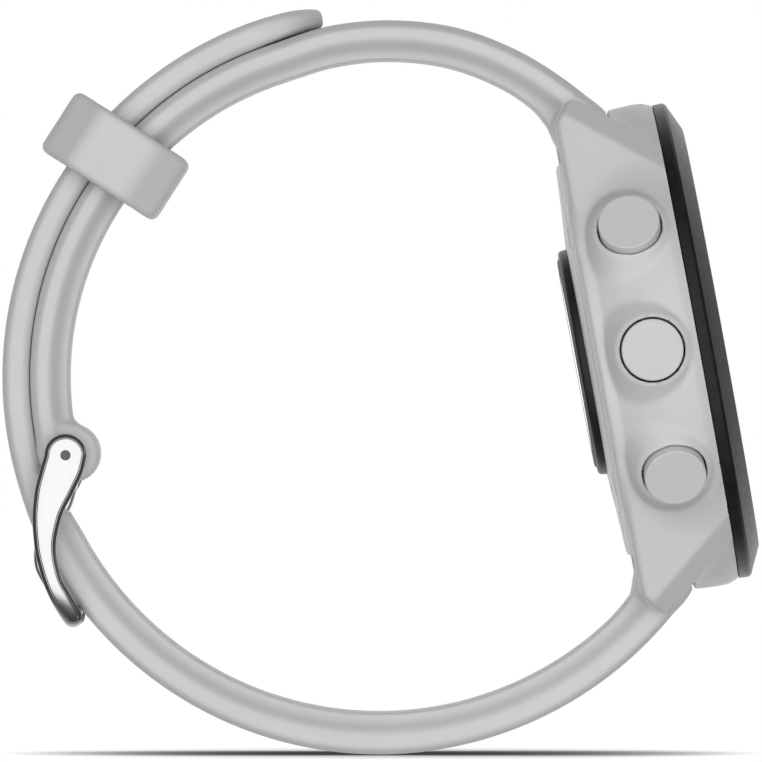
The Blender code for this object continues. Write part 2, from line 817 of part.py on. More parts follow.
def plate_outline():
    """A buckle side plate about its bar: a round head, and a curved arm down to the crossbar."""
    head = [
        (PLATE_HEAD * math.cos(math.radians(angle)), PLATE_HEAD * math.sin(math.radians(angle)))
        for angle in range(-10, 181, 19)
    ]
    rows = [tuple(value * MM for value in row) for row in smooth_rows(PLATE_STATIONS, 1.6)]
    left = [(middle - half, height) for height, middle, half in rows]
    right = [(middle + half, height) for height, middle, half in reversed(rows)]
    return head + left + right


def side_plate(name, side):
    """One side plate: its flat outline with Solidify."""
    outline = plate_outline()
    middle = side * (PLATE_INNER + PLATE_THICKNESS / 2)

    def build(work):
        work.faces.new([work.verts.new((x, y, middle)) for x, y in outline])

    plate = new_object(name, mesh_of(name, build), BUCKLE)
    depth = plate.modifiers.new("thickness", "SOLIDIFY")
    depth.thickness = PLATE_THICKNESS
    depth.offset = 0.0
    return plate


def make_buckle():
    crossbar = polar(CROSSBAR_ANGLE, CROSSBAR_REACH) - polar(PIN_ANGLE, PIN_REACH)
    reach = Vector((0, 0, (PLATE_INNER + PLATE_THICKNESS / 2) / MM))
    low, high = crossbar / MM - reach, crossbar / MM + reach
    frame = cylinder("buckle_frame", CROSSBAR_RADIUS, low, high, BUCKLE, STEEL, segments=12)
    join(frame, side_plate("near_plate", 1), side_plate("far_plate", -1))
    cut(frame, cylinder("plate_holes", 0.62, (0, 0, -14), (0, 0, 14), BUCKLE, segments=12))
    half_bar = ((0, 11.75), (0.48, 11.75), (0.48, 10.05), (0.75, 10.05))
    outline = half_bar + tuple((radius, -height) for radius, height in reversed(half_bar))
    turned("buckle_bar", outline, BUCKLE, STEEL, segments=12)


def make_tongue():
    """The tongue: an eye round the buckle's bar, and a flat arm out through the used hole."""
    pin = polar(PIN_ANGLE, PIN_REACH)
    path = [polar(angle, reach) - pin for angle, reach in TONGUE_PATH]
    points = []
    for index in range(len(path) - 1):
        points += [path[index], (path[index] + path[index + 1]) / 2]
    points.append(path[-1])
    rings = []
    half_width, half_depth = 0.95 * MM, 0.5 * MM
    for index, point in enumerate(points):
        along = (points[min(index + 1, len(points) - 1)] - points[max(index - 1, 0)]).normalized()
        side = Vector((-along.y, along.x, 0.0)) * half_depth
        across = Vector((0.0, 0.0, half_width))
        near = [point + side + across, point - side + across]
        rings.append(near + [point - side - across, point + side - across])
    tongue = loft("buckle_tongue", rings, BUCKLE, STEEL)
    join(tongue, cylinder("tongue_eye", 1.45, (0, 0, -0.95), (0, 0, 0.95), BUCKLE, segments=16))
    cut(tongue, cylinder("tongue_eye_hole", 0.85, (0, 0, -2), (0, 0, 2), BUCKLE, segments=12))


make_case()
make_front()
make_back()
make_sensor()
make_electronics()
make_switches()
for button_name, button_angle in BUTTONS.items():
    make_button(button_name, button_angle)
make_lug_bar("upper", 1)
make_lug_bar("lower", -1)
make_upper_strap()
make_lower_strap()
make_keeper()
make_buckle()
make_tongue()
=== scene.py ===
"""Looks of the GPS running watch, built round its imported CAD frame.

Moulded pieces are meshed from distance fields: a field is negative inside a piece, fields are joined
and cut with rounded corners, and the surface is where the field is zero. Fields work in millimetres, in
one of three local frames: the case frame (x to 3 o'clock, y to 12 o'clock, z out of the display), the
band frame (x right, y up, z to the 9 o'clock side, origin at the centre of the band's loop), and frames
of single pieces. The frames' places and turns come from the mounts and joints of the CAD frame.
"""

import json
import math

import bmesh
import bpy
import numpy as np
from mathutils import Matrix, Vector


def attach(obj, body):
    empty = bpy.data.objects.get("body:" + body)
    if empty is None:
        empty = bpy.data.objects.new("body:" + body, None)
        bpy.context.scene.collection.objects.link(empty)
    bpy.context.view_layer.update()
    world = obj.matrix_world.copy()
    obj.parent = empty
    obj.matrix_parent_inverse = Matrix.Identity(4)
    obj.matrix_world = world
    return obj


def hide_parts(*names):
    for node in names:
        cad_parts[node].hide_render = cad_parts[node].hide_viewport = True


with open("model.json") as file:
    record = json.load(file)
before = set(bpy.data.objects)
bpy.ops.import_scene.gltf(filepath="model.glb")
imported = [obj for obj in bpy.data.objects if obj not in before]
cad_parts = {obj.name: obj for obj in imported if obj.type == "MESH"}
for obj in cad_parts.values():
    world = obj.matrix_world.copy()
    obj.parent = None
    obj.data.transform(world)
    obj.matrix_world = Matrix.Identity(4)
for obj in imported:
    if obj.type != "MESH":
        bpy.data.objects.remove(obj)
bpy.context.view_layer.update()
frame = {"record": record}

MM = 0.001

# Frames, from the record's mounts and joints

mounts = {mount["name"]: mount for mount in frame["record"]["mounts"]}
joints = {joint["name"]: joint for joint in frame["record"]["behaviour"]["joints"]}
# Heights of the lens's face and of the sensor window's, in the case frame
LENS_TOP, WINDOW_FACE = 6.15, -6.55


def frame_matrix(origin, x_axis, y_axis):
    """From a local frame in millimetres to the world in metres."""
    z_axis = Vector(x_axis).cross(Vector(y_axis))
    turn = Matrix((Vector(x_axis), Vector(y_axis), z_axis)).transposed().to_4x4()
    return Matrix.Translation(origin) @ turn @ Matrix.Scale(MM, 4)


OUTWARD = Vector(mounts["display_face"]["axis"])
ACROSS = Vector((0.0, 1.0, 0.0))
TWELVE = OUTWARD.cross(ACROSS)
CASE_ORIGIN = Vector(mounts["display_face"]["pos_m"]) - OUTWARD * (LENS_TOP * MM)
BAND_ORIGIN = Vector(joints["keeper_slide_round_band"]["pos_m"])
PIN = Vector(joints["buckle_pivot"]["pos_m"])
CASE = frame_matrix(CASE_ORIGIN, ACROSS, TWELVE)
BAND = frame_matrix(BAND_ORIGIN, Vector((1, 0, 0)), Vector((0, 0, 1)))
BUCKLE = frame_matrix(PIN, Vector((1, 0, 0)), Vector((0, 0, 1)))
BAND_TO_CASE = np.array(CASE.inverted() @ BAND)

# Sizes shared with the CAD model, in millimetres

RIM_HEIGHT = 4.0
POCKET = (10.15, 17.3, 0.1)
BAR_ALONG, BAR_HEIGHT = 20.0, -2.6
BUTTON_ANGLES = {"up": 180, "light": 150, "down": 210, "start": 30, "back": -30}
CAP_FACE = 22.6
STRAP_HALF, TAIL_HALF = 9.8, 9.5
UPPER_BAR, LOWER_BAR = (50.9, 27.73), (324.2, 30.48)
PIN_PLACE = (194.1, 28.11)
HOLE_ANGLES = [109.0 + 12.0 * index for index in range(12)]

# Materials


def new_material(name, colour, roughness, metallic=0.0, **sockets):
    """A Principled material; the keywords are other sockets, with _ for a space."""
    material = bpy.data.materials.new(name)
    material.use_nodes = True
    shader = material.node_tree.nodes["Principled BSDF"]
    shader.inputs["Base Color"].default_value = (*colour, 1.0)
    shader.inputs["Roughness"].default_value = roughness
    shader.inputs["Metallic"].default_value = metallic
    for socket, value in sockets.items():
        shader.inputs[socket.replace("_", " ")].default_value = value
    return material


def add_node(tree, kind, **inputs):
    node = tree.nodes.new(kind)
    for socket, value in inputs.items():
        node.inputs[socket.replace("_", " ")].default_value = value
    return node


def surface_noise(tree, scale, stretch=(1.0, 1.0, 1.0)):
    """Noise over object coordinates, with scale in repeats a metre."""
    coordinates = tree.nodes.new("ShaderNodeTexCoord")
    mapping = add_node(tree, "ShaderNodeMapping", Scale=stretch)
    noise = add_node(tree, "ShaderNodeTexNoise", Scale=scale, Detail=3.0, Roughness=0.6)
    tree.links.new(coordinates.outputs["Object"], mapping.inputs["Vector"])
    tree.links.new(mapping.outputs["Vector"], noise.inputs["Vector"])
    return noise.outputs["Fac"]


def spread(tree, value, low, high):
    """A value of about 0.3 to 0.7 spread over a range."""
    ramp = add_node(tree, "ShaderNodeMapRange", From_Min=0.3, From_Max=0.7, To_Min=low, To_Max=high)
    tree.links.new(value, ramp.inputs["Value"])
    return ramp.outputs["Result"]


def vary_colour(material, low, high, scale):
    """Base colour that drifts between two colours."""
    tree = material.node_tree
    mix = tree.nodes.new("ShaderNodeMix")
    mix.data_type = "RGBA"
    mix.inputs["A"].default_value = (*low, 1.0)
    mix.inputs["B"].default_value = (*high, 1.0)
    tree.links.new(spread(tree, surface_noise(tree, scale), 0.0, 1.0), mix.inputs["Factor"])
    tree.links.new(mix.outputs["Result"], tree.nodes["Principled BSDF"].inputs["Base Color"])
    return material


def vary_roughness(material, low, high, scale):
    """Roughness that drifts between two values."""
    tree = material.node_tree
    rough = spread(tree, surface_noise(tree, scale), low, high)
    tree.links.new(rough, tree.nodes["Principled BSDF"].inputs["Roughness"])
    return material


def add_bump(material, scale, depth, stretch=(1.0, 1.0, 1.0)):
    """Fine relief, with its depth in millimetres."""
    tree = material.node_tree
    bump = add_node(tree, "ShaderNodeBump", Strength=1.0, Distance=depth * MM)
    tree.links.new(surface_noise(tree, scale, stretch), bump.inputs["Height"])
    tree.links.new(bump.outputs["Normal"], tree.nodes["Principled BSDF"].inputs["Normal"])
    return material


def grey(value, blue=1.0):
    return (value, value, value * blue)


def silicone_material():
    material = new_material("silicone", grey(0.6), 0.55, Specular_IOR_Level=0.35)
    vary_colour(material, grey(0.585), grey(0.615, 1.005), 90.0)
    vary_roughness(material, 0.5, 0.62, 400.0)
    return add_bump(material, 5200.0, 0.006)


def case_material():
    material = new_material("case_polymer", grey(0.6), 0.42, Specular_IOR_Level=0.4)
    vary_colour(material, grey(0.59), grey(0.615, 1.01), 140.0)
    vary_roughness(material, 0.38, 0.48, 700.0)
    return add_bump(material, 7800.0, 0.005)


def button_material():
    material = new_material("button_coat", grey(0.6), 0.4, Specular_IOR_Level=0.4)
    vary_colour(material, grey(0.585), grey(0.605), 300.0)
    vary_roughness(material, 0.36, 0.46, 1500.0)
    return add_bump(material, 9500.0, 0.004)


def bezel_material():
    material = new_material("bezel_black", grey(0.013, 1.1), 0.36, Specular_IOR_Level=0.15)
    vary_colour(material, grey(0.01, 1.1), grey(0.017, 1.1), 900.0)
    vary_roughness(material, 0.3, 0.42, 2500.0)
    return add_bump(material, 6000.0, 0.003)


def polished_steel():
    material = new_material("polished_steel", grey(0.53), 0.16, 1.0)
    vary_roughness(material, 0.12, 0.22, 1800.0)
    return add_bump(material, 2600.0, 0.0015, stretch=(1.0, 1.0, 0.08))


def bare_steel():
    material = new_material("bare_steel", grey(0.55), 0.3, 1.0)
    vary_roughness(material, 0.25, 0.4, 2500.0)
    return add_bump(material, 4000.0, 0.002)


# Painted shade: the spring bar is dark steel, flush with the plates, so its ends show as dark dots
# standing in for the shade of a recessed pin
def painted_shade_steel():
    material = new_material("pin_steel_painted_shade", grey(0.09), 0.45, 1.0)
    vary_colour(material, grey(0.07), grey(0.12), 2500.0)
    return add_bump(material, 3500.0, 0.003)


# Painted highlight: a grey lighter than the black ring, standing in for the light caught by the sensor
# lip's rounded edge
def lip_painted_highlight():
    material = new_material("lip_painted_highlight", grey(0.17), 0.6, Specular_IOR_Level=0.2)
    vary_colour(material, grey(0.14), grey(0.18), 2000.0)
    return add_bump(material, 4000.0, 0.002)


def black_polymer():
    material = new_material("black_polymer", grey(0.012), 0.4, Specular_IOR_Level=0.25)
    vary_colour(material, grey(0.011), grey(0.018), 600.0)
    return add_bump(material, 6500.0, 0.004)


def clear_glass():
    colour = (0.93, 0.96, 0.95)
    material = new_material("lens_glass", colour, 0.02, IOR=1.5, Transmission_Weight=1.0)
    return vary_roughness(material, 0.01, 0.035, 60.0)


def dark_glass():
    material = new_material("sensor_glass", grey(0.01), 0.06, Coat_Weight=0.6, Coat_Roughness=0.03)
    vary_colour(material, grey(0.006), (0.016, 0.012, 0.014), 250.0)
    return material


def screen_material():
    """A reflective display: a dark face with a fine dot matrix."""
    material = new_material("display", grey(0.02), 0.3, Specular_IOR_Level=0.3)
    vary_colour(material, (0.014, 0.017, 0.02), (0.024, 0.028, 0.032), 9000.0)
    return material


def ink_material():
    material = new_material("display_ink", (0.55, 0.58, 0.56), 0.5)
    return vary_colour(material, (0.5, 0.53, 0.52), (0.6, 0.63, 0.6), 8000.0)


def accent_material():
    material = new_material("display_accent", (0.05, 0.35, 0.4), 0.5)
    return vary_colour(material, (0.04, 0.3, 0.36), (0.07, 0.4, 0.45), 8000.0)


def rubber_material():
    material = new_material("seal_rubber", grey(0.02), 0.7)
    vary_colour(material, grey(0.016), grey(0.026), 1500.0)
    return add_bump(material, 3000.0, 0.01)


def board_material():
    material = new_material("circuit_board", (0.01, 0.07, 0.03), 0.45)
    vary_colour(material, (0.006, 0.05, 0.02), (0.02, 0.1, 0.05), 1200.0)
    return add_bump(material, 2500.0, 0.01)


def foil_material():
    material = new_material("cell_foil", grey(0.5), 0.35, 0.7)
    vary_roughness(material, 0.28, 0.45, 900.0)
    return add_bump(material, 900.0, 0.02)


def gold_material():
    material = new_material("gold_plate", (0.72, 0.48, 0.2), 0.3, 1.0)
    vary_roughness(material, 0.22, 0.4, 1500.0)
    return add_bump(material, 3000.0, 0.003)


MATERIALS = {
    "strap": silicone_material(),
    "case": case_material(),
    "button": button_material(),
    "bezel": bezel_material(),
    "buckle": polished_steel(),
    "steel": bare_steel(),
    "black_polymer": black_polymer(),
    "lens": clear_glass(),
    "window": dark_glass(),
    "screen": screen_material(),
    "rubber": rubber_material(),
    "board": board_material(),
    "cell": foil_material(),
    "copper": gold_material(),
}
PAINTED_SHADE_STEEL = painted_shade_steel()
LIP_PAINTED_HIGHLIGHT = lip_painted_highlight()
INK = ink_material()
ACCENT = accent_material()


def finish_nodes():
    """Gives every CAD node the material of its slot."""
    slots = {part["node"]: part["material_slot"] for part in frame["record"]["subparts"]}
    for node, slot in slots.items():
        item = bpy.data.objects[node]
        item.data.materials.clear()
        item.data.materials.append(MATERIALS[slot])


# Pieces


def add_object(name, data):
    made = bpy.data.objects.new(name, data)
    bpy.context.scene.collection.objects.link(made)
    return made


def new_piece(name, mesh, place, body, slot, *replaced, sharp=None, material=None):
    """A piece whose mesh is in millimetres in a local frame, put in its place on a body."""
    mesh.transform(place)
    if place.determinant() < 0:
        mesh.flip_normals()
    piece = add_object(name, mesh)
    mesh.materials.clear()
    mesh.materials.append(material or MATERIALS[slot])
    mesh.shade_smooth()
    if sharp is not None:
        mesh.set_sharp_from_angle(angle=math.radians(sharp))
    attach(piece, body)
    if replaced:
        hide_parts(*replaced)
    return piece


def mesh_of(name, work):
    """A mesh with the bmesh's shape; the bmesh is used up."""
    mesh = bpy.data.meshes.new(name)
    work.to_mesh(mesh)
    work.free()
    return mesh


def add_block(work, middle, size, turn=Matrix.Identity(4)):
    """Adds a box to a bmesh, turned about the origin after it is put in place."""
    place = turn @ Matrix.Translation(middle) @ Matrix.Diagonal((*size, 1.0))
    bmesh.ops.create_cube(work, size=1.0, matrix=place)


def turned_mesh(name, outline, segments):
    """A turned mesh from (radius, height) points; outlines that touch the axis stay open there."""
    count = len(outline)
    closed = all(radius > 0 for radius, _ in outline)
    work = bmesh.new()
    rings = []
    for radius, height in outline:
        if radius <= 0:
            rings.append([work.verts.new((0.0, 0.0, height))] * segments)
            continue
        ring = []
        for step in range(segments):
            turn = 2 * math.pi * step / segments
            ring.append(work.verts.new((radius * math.cos(turn), radius * math.sin(turn), height)))
        rings.append(ring)
    for index in range(count if closed else count - 1):
        low, high = rings[index], rings[(index + 1) % count]
        for step in range(segments):
            after = (step + 1) % segments
            corners = dict.fromkeys((low[step], high[step], high[after], low[after]))
            if len(corners) > 2:
                work.faces.new(list(corners))
    bmesh.ops.recalc_face_normals(work, faces=work.faces)
    return mesh_of(name, work)


def rounded(outline, radius, steps=4):
    """The loop with its corners rounded; a corner can give its own radius as a third value."""
    made = []
    count = len(outline)
    for index, corner in enumerate(outline):
        here = Vector(corner[:2])
        before = Vector(outline[index - 1][:2]) - here
        after = Vector(outline[(index + 1) % count][:2]) - here
        wanted = corner[2] if len(corner) > 2 else radius
        half = before.angle(after) / 2
        reach = min(wanted / math.tan(half), before.length * 0.45, after.length * 0.45)
        start, end = here + before.normalized() * reach, here + after.normalized() * reach
        for step in range(steps + 1):
            t = step / steps
            made.append(tuple(start * (1 - t) ** 2 + here * (2 * t * (1 - t)) + end * t**2))
    return made


# Distance fields, over arrays of points


def smax(first, second, size):
    """Both fields at once, their shared corner rounded over about this size."""
    mix = np.clip(0.5 + 0.5 * (first - second) / size, 0.0, 1.0)
    return second + (first - second) * mix + size * mix * (1.0 - mix)


def smin(first, second, size):
    """Either field, the corner between them filled over about this size."""
    return -smax(-first, -second, size)


def cut(field, room, size):
    """The first field without the second, the edge between them rounded over about this size."""
    return smax(field, -room, size)


def hermite(rows, at):
    """Smooth curve values at the given places; each row is (place, values...)."""
    table = np.array(rows, float)
    places, values = table[:, 0], table[:, 1:]
    slopes = np.zeros_like(values)
    gaps = np.diff(places)[:, None]
    steps = np.diff(values, axis=0) / gaps
    before, after = steps[:-1], steps[1:]
    harmonic = 2 * before * after / (before + after + 1e-12)
    slopes[1:-1] = np.where(before * after > 0, harmonic, 0)
    slopes[0], slopes[-1] = steps[0], steps[-1]
    index = np.clip(np.searchsorted(places, at) - 1, 0, len(places) - 2)
    gap = gaps[index, 0]
    t = np.clip((at - places[index]) / gap, 0.0, 1.0)
    made = []
    for column in range(values.shape[1]):
        start, end = values[index, column], values[index + 1, column]
        leave, arrive = slopes[index, column] * gap, slopes[index + 1, column] * gap
        made.append(
            (2 * t**3 - 3 * t**2 + 1) * start
            + (t**3 - 2 * t**2 + t) * leave
            + (3 * t**2 - 2 * t**3) * end
            + (t**3 - t**2) * arrive
        )
    return made


def grid_axis(low, high, step):
    """Even places from low to high, about a step apart."""
    return np.linspace(low, high, max(4, int(math.ceil((high - low) / step)) + 1))


def cell_crossings(values, active):
    """Where the surface crosses each active cell's edges, averaged, in grid steps."""
    cells = np.argwhere(active)
    total = np.zeros((len(cells), 3))
    count = np.zeros(len(cells))
    corners = [(i, j, k) for i in (0, 1) for j in (0, 1) for k in (0, 1)]
    for axis in range(3):
        for corner in corners:
            if corner[axis]:
                continue
            low = cells + corner
            high = low.copy()
            high[:, axis] += 1
            low_value, high_value = values[tuple(low.T)], values[tuple(high.T)]
            crossed = (low_value < 0) != (high_value < 0)
            share = np.where(crossed, low_value / np.where(crossed, low_value - high_value, 1.0), 0.0)
            point = low.astype(float)
            point[:, axis] += share
            total += point * crossed[:, None]
            count += crossed
    return cells, total / count[:, None]


def settle(points, field, rounds=4, most=0.25):
    """Moves points onto the surface along the field's gradient."""
    small = 1e-3
    for _ in range(rounds):
        value = field(points)
        ahead = [field(points + offset) for offset in np.eye(3) * small]
        gradient = (np.stack(ahead, -1) - value[..., None]) / small
        size = np.maximum((gradient**2).sum(-1), 0.15)
        move = np.clip(value / size, -most, most)
        points = points - gradient * move[:, None]
    return points


def field_mesh(name, field, axes, spread_out=lambda grid: grid):
    """The surface of a field over a grid, which spread_out may bend into another shape."""
    grid = np.stack(np.meshgrid(*axes, indexing="ij"), -1)
    values = field(spread_out(grid))
    inside = values < 0
    count = np.zeros(tuple(n - 1 for n in inside.shape), np.int8)
    ends = (slice(0, -1), slice(1, None))
    for i in (0, 1):
        for j in (0, 1):
            for k in (0, 1):
                count += inside[ends[i], ends[j], ends[k]]
    active = (count > 0) & (count < 8)
    cells, places = cell_crossings(values, active)
    index = np.full(active.shape, -1)
    index[tuple(cells.T)] = np.arange(len(cells))
    steps = np.array([axis[1] - axis[0] for axis in axes])
    start = np.array([axis[0] for axis in axes])
    points = settle(spread_out(start + places * steps), field)
    quads = []
    for axis in range(3):
        low_side = [slice(None)] * 3
        high_side = [slice(None)] * 3
        low_side[axis], high_side[axis] = slice(0, -1), slice(1, None)
        low, high = inside[tuple(low_side)], inside[tuple(high_side)]
        edges = np.argwhere(low != high)
        u, v = (axis + 1) % 3, (axis + 2) % 3
        limit = np.array(active.shape)
        edges = edges[
            (edges[:, u] > 0) & (edges[:, v] > 0) & (edges[:, u] < limit[u]) & (edges[:, v] < limit[v])
        ]
        step_u, step_v = np.eye(3, dtype=int)[u], np.eye(3, dtype=int)[v]
        ring = [edges, edges - step_u, edges - step_u - step_v, edges - step_v]
        quad = np.stack([index[tuple(cell.T)] for cell in ring], -1)
        outward = low[tuple(edges.T)]
        quads.append(np.where(outward[:, None], quad, quad[:, ::-1]))
    faces = np.concatenate(quads)
    corner = points[faces]
    volume = np.einsum("ij,ij->i", corner[:, 0], np.cross(corner[:, 1], corner[:, 2])).sum()
    volume += np.einsum("ij,ij->i", corner[:, 0], np.cross(corner[:, 2], corner[:, 3])).sum()
    if volume < 0:
        faces = faces[:, ::-1]
    return mesh_from(name, points, faces)


def mesh_from(name, points, faces):
    mesh = bpy.data.meshes.new(name)
    mesh.from_pydata([tuple(point) for point in points], [], [tuple(map(int, face)) for face in faces])
    mesh.update()
    return mesh


FINE = 1.0

# Case

# Each lug plane is (across, along, height, limit): across * |x| + along * |y| + height * z <= limit
LUG_SIDE = (0.921, 0.389, 0.0, 19.69)
LUG_FRONT = (0.0, 0.773, 0.634, 15.98)
LUG_CHAMFER = (0.571, 0.720, 0.393, 21.08)
LUG_BACK_SLOPE = (0.0, 0.634, -0.773, 16.82)
LUG_BACK_EDGE = (0.652, 0.275, -0.707, 16.95)
LUG_BACK, LUG_HALF = 4.75, 17.0
# Each row is (height, radius) of the case's flared wall, which stands on a plain drum
CASE_SECTIONS = (
    (-6.0, 18.4),
    (-3.8, 19.75),
    (-2.8, 20.28),
    (-1.8, 20.71),
    (-0.8, 21.03),
    (0.2, 21.26),
    (1.2, 21.34),
    (2.4, 21.375),
    (3.1, 21.33),
    (3.6, 21.16),
    (4.1, 20.95),
    (5.0, 20.9),
)
DRUM, CASE_TOP = 19.8, 4.2
# The back face lies this deep at this radius, and rises by this share of the distance beyond it
CASE_BACK, BACK_RADIUS, BACK_SLOPE = 5.12, 17.0, 0.11
BOSS_RADIUS, BOSS_TOP, BOSS_ROOT = 3.0, 21.95, 15.0
# A button's seat and its stem's bore are (radius, start along the button's axis)
SEAT, STEM_BORE = (2.84, 19.0), (1.2, 15.5)
BAR_HOLE_RADIUS, BAR_HOLE_END = 0.62, 11.75
# The openings of the back and of the front are (radius, height), with a plain bore between them
BACK_OPENING, FRONT_OPENING, INNER_WALL = (16.95, -3.6), (17.6, 2.4), 16.2


def plane(x, y, z, limits):
    across, along, height, limit = limits
    return across * x + along * y + height * z - limit


def round_body(r, z):
    """The case without lugs or buttons: a drum at the back, and a wall that flares towards the front."""
    side = smin((r - hermite(CASE_SECTIONS, z)[0]) * 0.92, smax(r - DRUM, z, 0.1), 0.06)
    return smax(side, BACK_SLOPE * (r - BACK_RADIUS) - z - CASE_BACK, 0.45)


def lugs(x, y, z):
    """The four lugs: one wedge of planes, mirrored by the signs of x and y."""
    field = smax(plane(x, y, z, LUG_SIDE), plane(x, y, z, LUG_FRONT), 0.15)
    field = smax(field, plane(x, y, z, LUG_CHAMFER), 0.18)
    field = smax(field, plane(x, y, z, LUG_BACK_SLOPE), 0.5)
    field = smax(field, plane(x, y, z, LUG_BACK_EDGE), 0.18)
    field = smax(field, -z - LUG_BACK, 0.4)
    return smax(field, x - LUG_HALF, 0.3)


def button_room(points, angle):
    """Distances from a button's axis and along it."""
    turn = math.radians(angle)
    along = points[..., 0] * math.cos(turn) + points[..., 1] * math.sin(turn)
    aside = -points[..., 0] * math.sin(turn) + points[..., 1] * math.cos(turn)
    return np.hypot(aside, points[..., 2]), along


def boss(points, angle):
    """The raised seat round a button; its cone is steeper towards the front and the back."""
    aside, along = button_room(points, angle)
    upright = np.clip(points[..., 2] / np.maximum(aside, 0.5), -1.0, 1.0) ** 2
    cone = (aside - BOSS_RADIUS - (BOSS_TOP - along) * (1.1 - 0.6 * upright)) * 0.68
    top = along - BOSS_TOP + 0.2 * np.maximum(np.abs(points[..., 2]) - 1.2, 0.0)
    field = smax(cone, top, 0.25)
    return smax(field, BOSS_ROOT - along, 0.3)


def case_outside(points):
    """The case as a solid: body, lugs and bosses, with a pocket for each strap's end."""
    x, y, z = np.abs(points[..., 0]), np.abs(points[..., 1]), points[..., 2]
    r = np.hypot(x, y)
    field = smin(round_body(r, z), lugs(x, y, z), 0.7)
    for angle in BUTTON_ANGLES.values():
        field = smin(field, boss(points, angle), 0.2)
    across, wall, top = POCKET
    pocket = smax(smax(x - across, wall - y, 0.3), z - top, 0.3)
    return cut(field, pocket, 0.22)


def case_field(points):
    """The case with its openings, up to where its front is cut off."""
    x, y, z = np.abs(points[..., 0]), np.abs(points[..., 1]), points[..., 2]
    r = np.hypot(x, y)
    field = case_outside(points)
    for angle in BUTTON_ANGLES.values():
        aside, along = button_room(points, angle)
        field = cut(field, smax(aside - SEAT[0], SEAT[1] - along, 0.2), 0.16)
        field = cut(field, smax(aside - STEM_BORE[0], STEM_BORE[1] - along, 0.1), 0.1)
    holes = np.hypot(y - BAR_ALONG, z - BAR_HEIGHT) - BAR_HOLE_RADIUS
    field = cut(field, smax(holes, x - BAR_HOLE_END, 0.1), 0.1)
    field = cut(field, smax(r - BACK_OPENING[0], z - BACK_OPENING[1], 0.1), 0.12)
    field = cut(field, r - INNER_WALL, 0.1)
    field = cut(field, smax(r - FRONT_OPENING[0], FRONT_OPENING[1] - z, 0.1), 0.12)
    return smax(field, z - CASE_TOP, 0.1)


def make_case():
    step = 0.17 * FINE
    heights = grid_axis(-5.2, 4.4, step * 0.9)
    axes = [grid_axis(-22.6, 22.6, step), grid_axis(-23.4, 23.4, step), heights]
    mesh = field_mesh("case_body_visual", case_field, axes)
    cut_front(mesh, RIM_HEIGHT)
    new_piece("case_shell", mesh, CASE, "watch", "case", "case_body", sharp=50)


def cut_front(mesh, height):
    """Cuts the case's front off flat, and closes the rim between its two edges."""
    work = bmesh.new()
    work.from_mesh(mesh)
    whole = work.verts[:] + work.edges[:] + work.faces[:]
    middle, up = (0, 0, height), (0, 0, 1)
    bmesh.ops.bisect_plane(work, geom=whole, plane_co=middle, plane_no=up, clear_outer=True, dist=1e-4)
    bmesh.ops.bridge_loops(work, edges=[edge for edge in work.edges if edge.is_boundary])
    work.to_mesh(mesh)
    work.free()


def make_front():
    """The bezel ring and the lens inside it."""
    outline = [
        (18.55, 6.29, 0.12),
        (20.88, 5.2, 0.12),
        (21.05, 4.95, 0.1),
        (21.02, 4.08, 0.08),
        (17.45, 4.08),
        (17.45, 6.1, 0.1),
        (17.7, 6.29, 0.1),
    ]
    bezel = turned_mesh("bezel_visual", rounded(outline, 0.05, 5), 256)
    new_piece("bezel_ring", bezel, CASE, "watch", "bezel", "bezel", sharp=28)
    glass = [
        (0, LENS_TOP),
        (16.9, LENS_TOP),
        (17.1, LENS_TOP - 0.06),
        (17.2, LENS_TOP - 0.2),
        (17.2, 4.95),
        (0, 4.95),
    ]
    lens = turned_mesh("lens_visual", glass, 160)
    new_piece("lens_disc", lens, CASE, "watch", "lens", "lens", sharp=28)


def make_caps():
    """The button caps, each with a grooved stem."""
    stem = [(0, 14.8), (1.0, 14.8), (1.0, 15.3), (0.75, 15.3), (0.75, 15.85), (1.0, 15.85), (1.0, 20.4)]
    head = [(2.68, 20.4), (2.68, CAP_FACE - 0.16), (2.64, CAP_FACE - 0.05)]
    head += [(2.55, CAP_FACE), (2.5, CAP_FACE), (0, CAP_FACE)]
    for name, angle in BUTTON_ANGLES.items():
        turn = Matrix.Rotation(math.radians(angle), 4, "Z") @ Matrix.Rotation(math.pi / 2, 4, "Y")
        cap = turned_mesh(f"{name}_cap", stem + head, 96)
        button = f"{name}_button"
        new_piece(f"{name}_cap", cap, CASE @ turn, button, "button", button, sharp=30)


# The middle of the charging port, across and along the case
PORT = (0, -11.9)


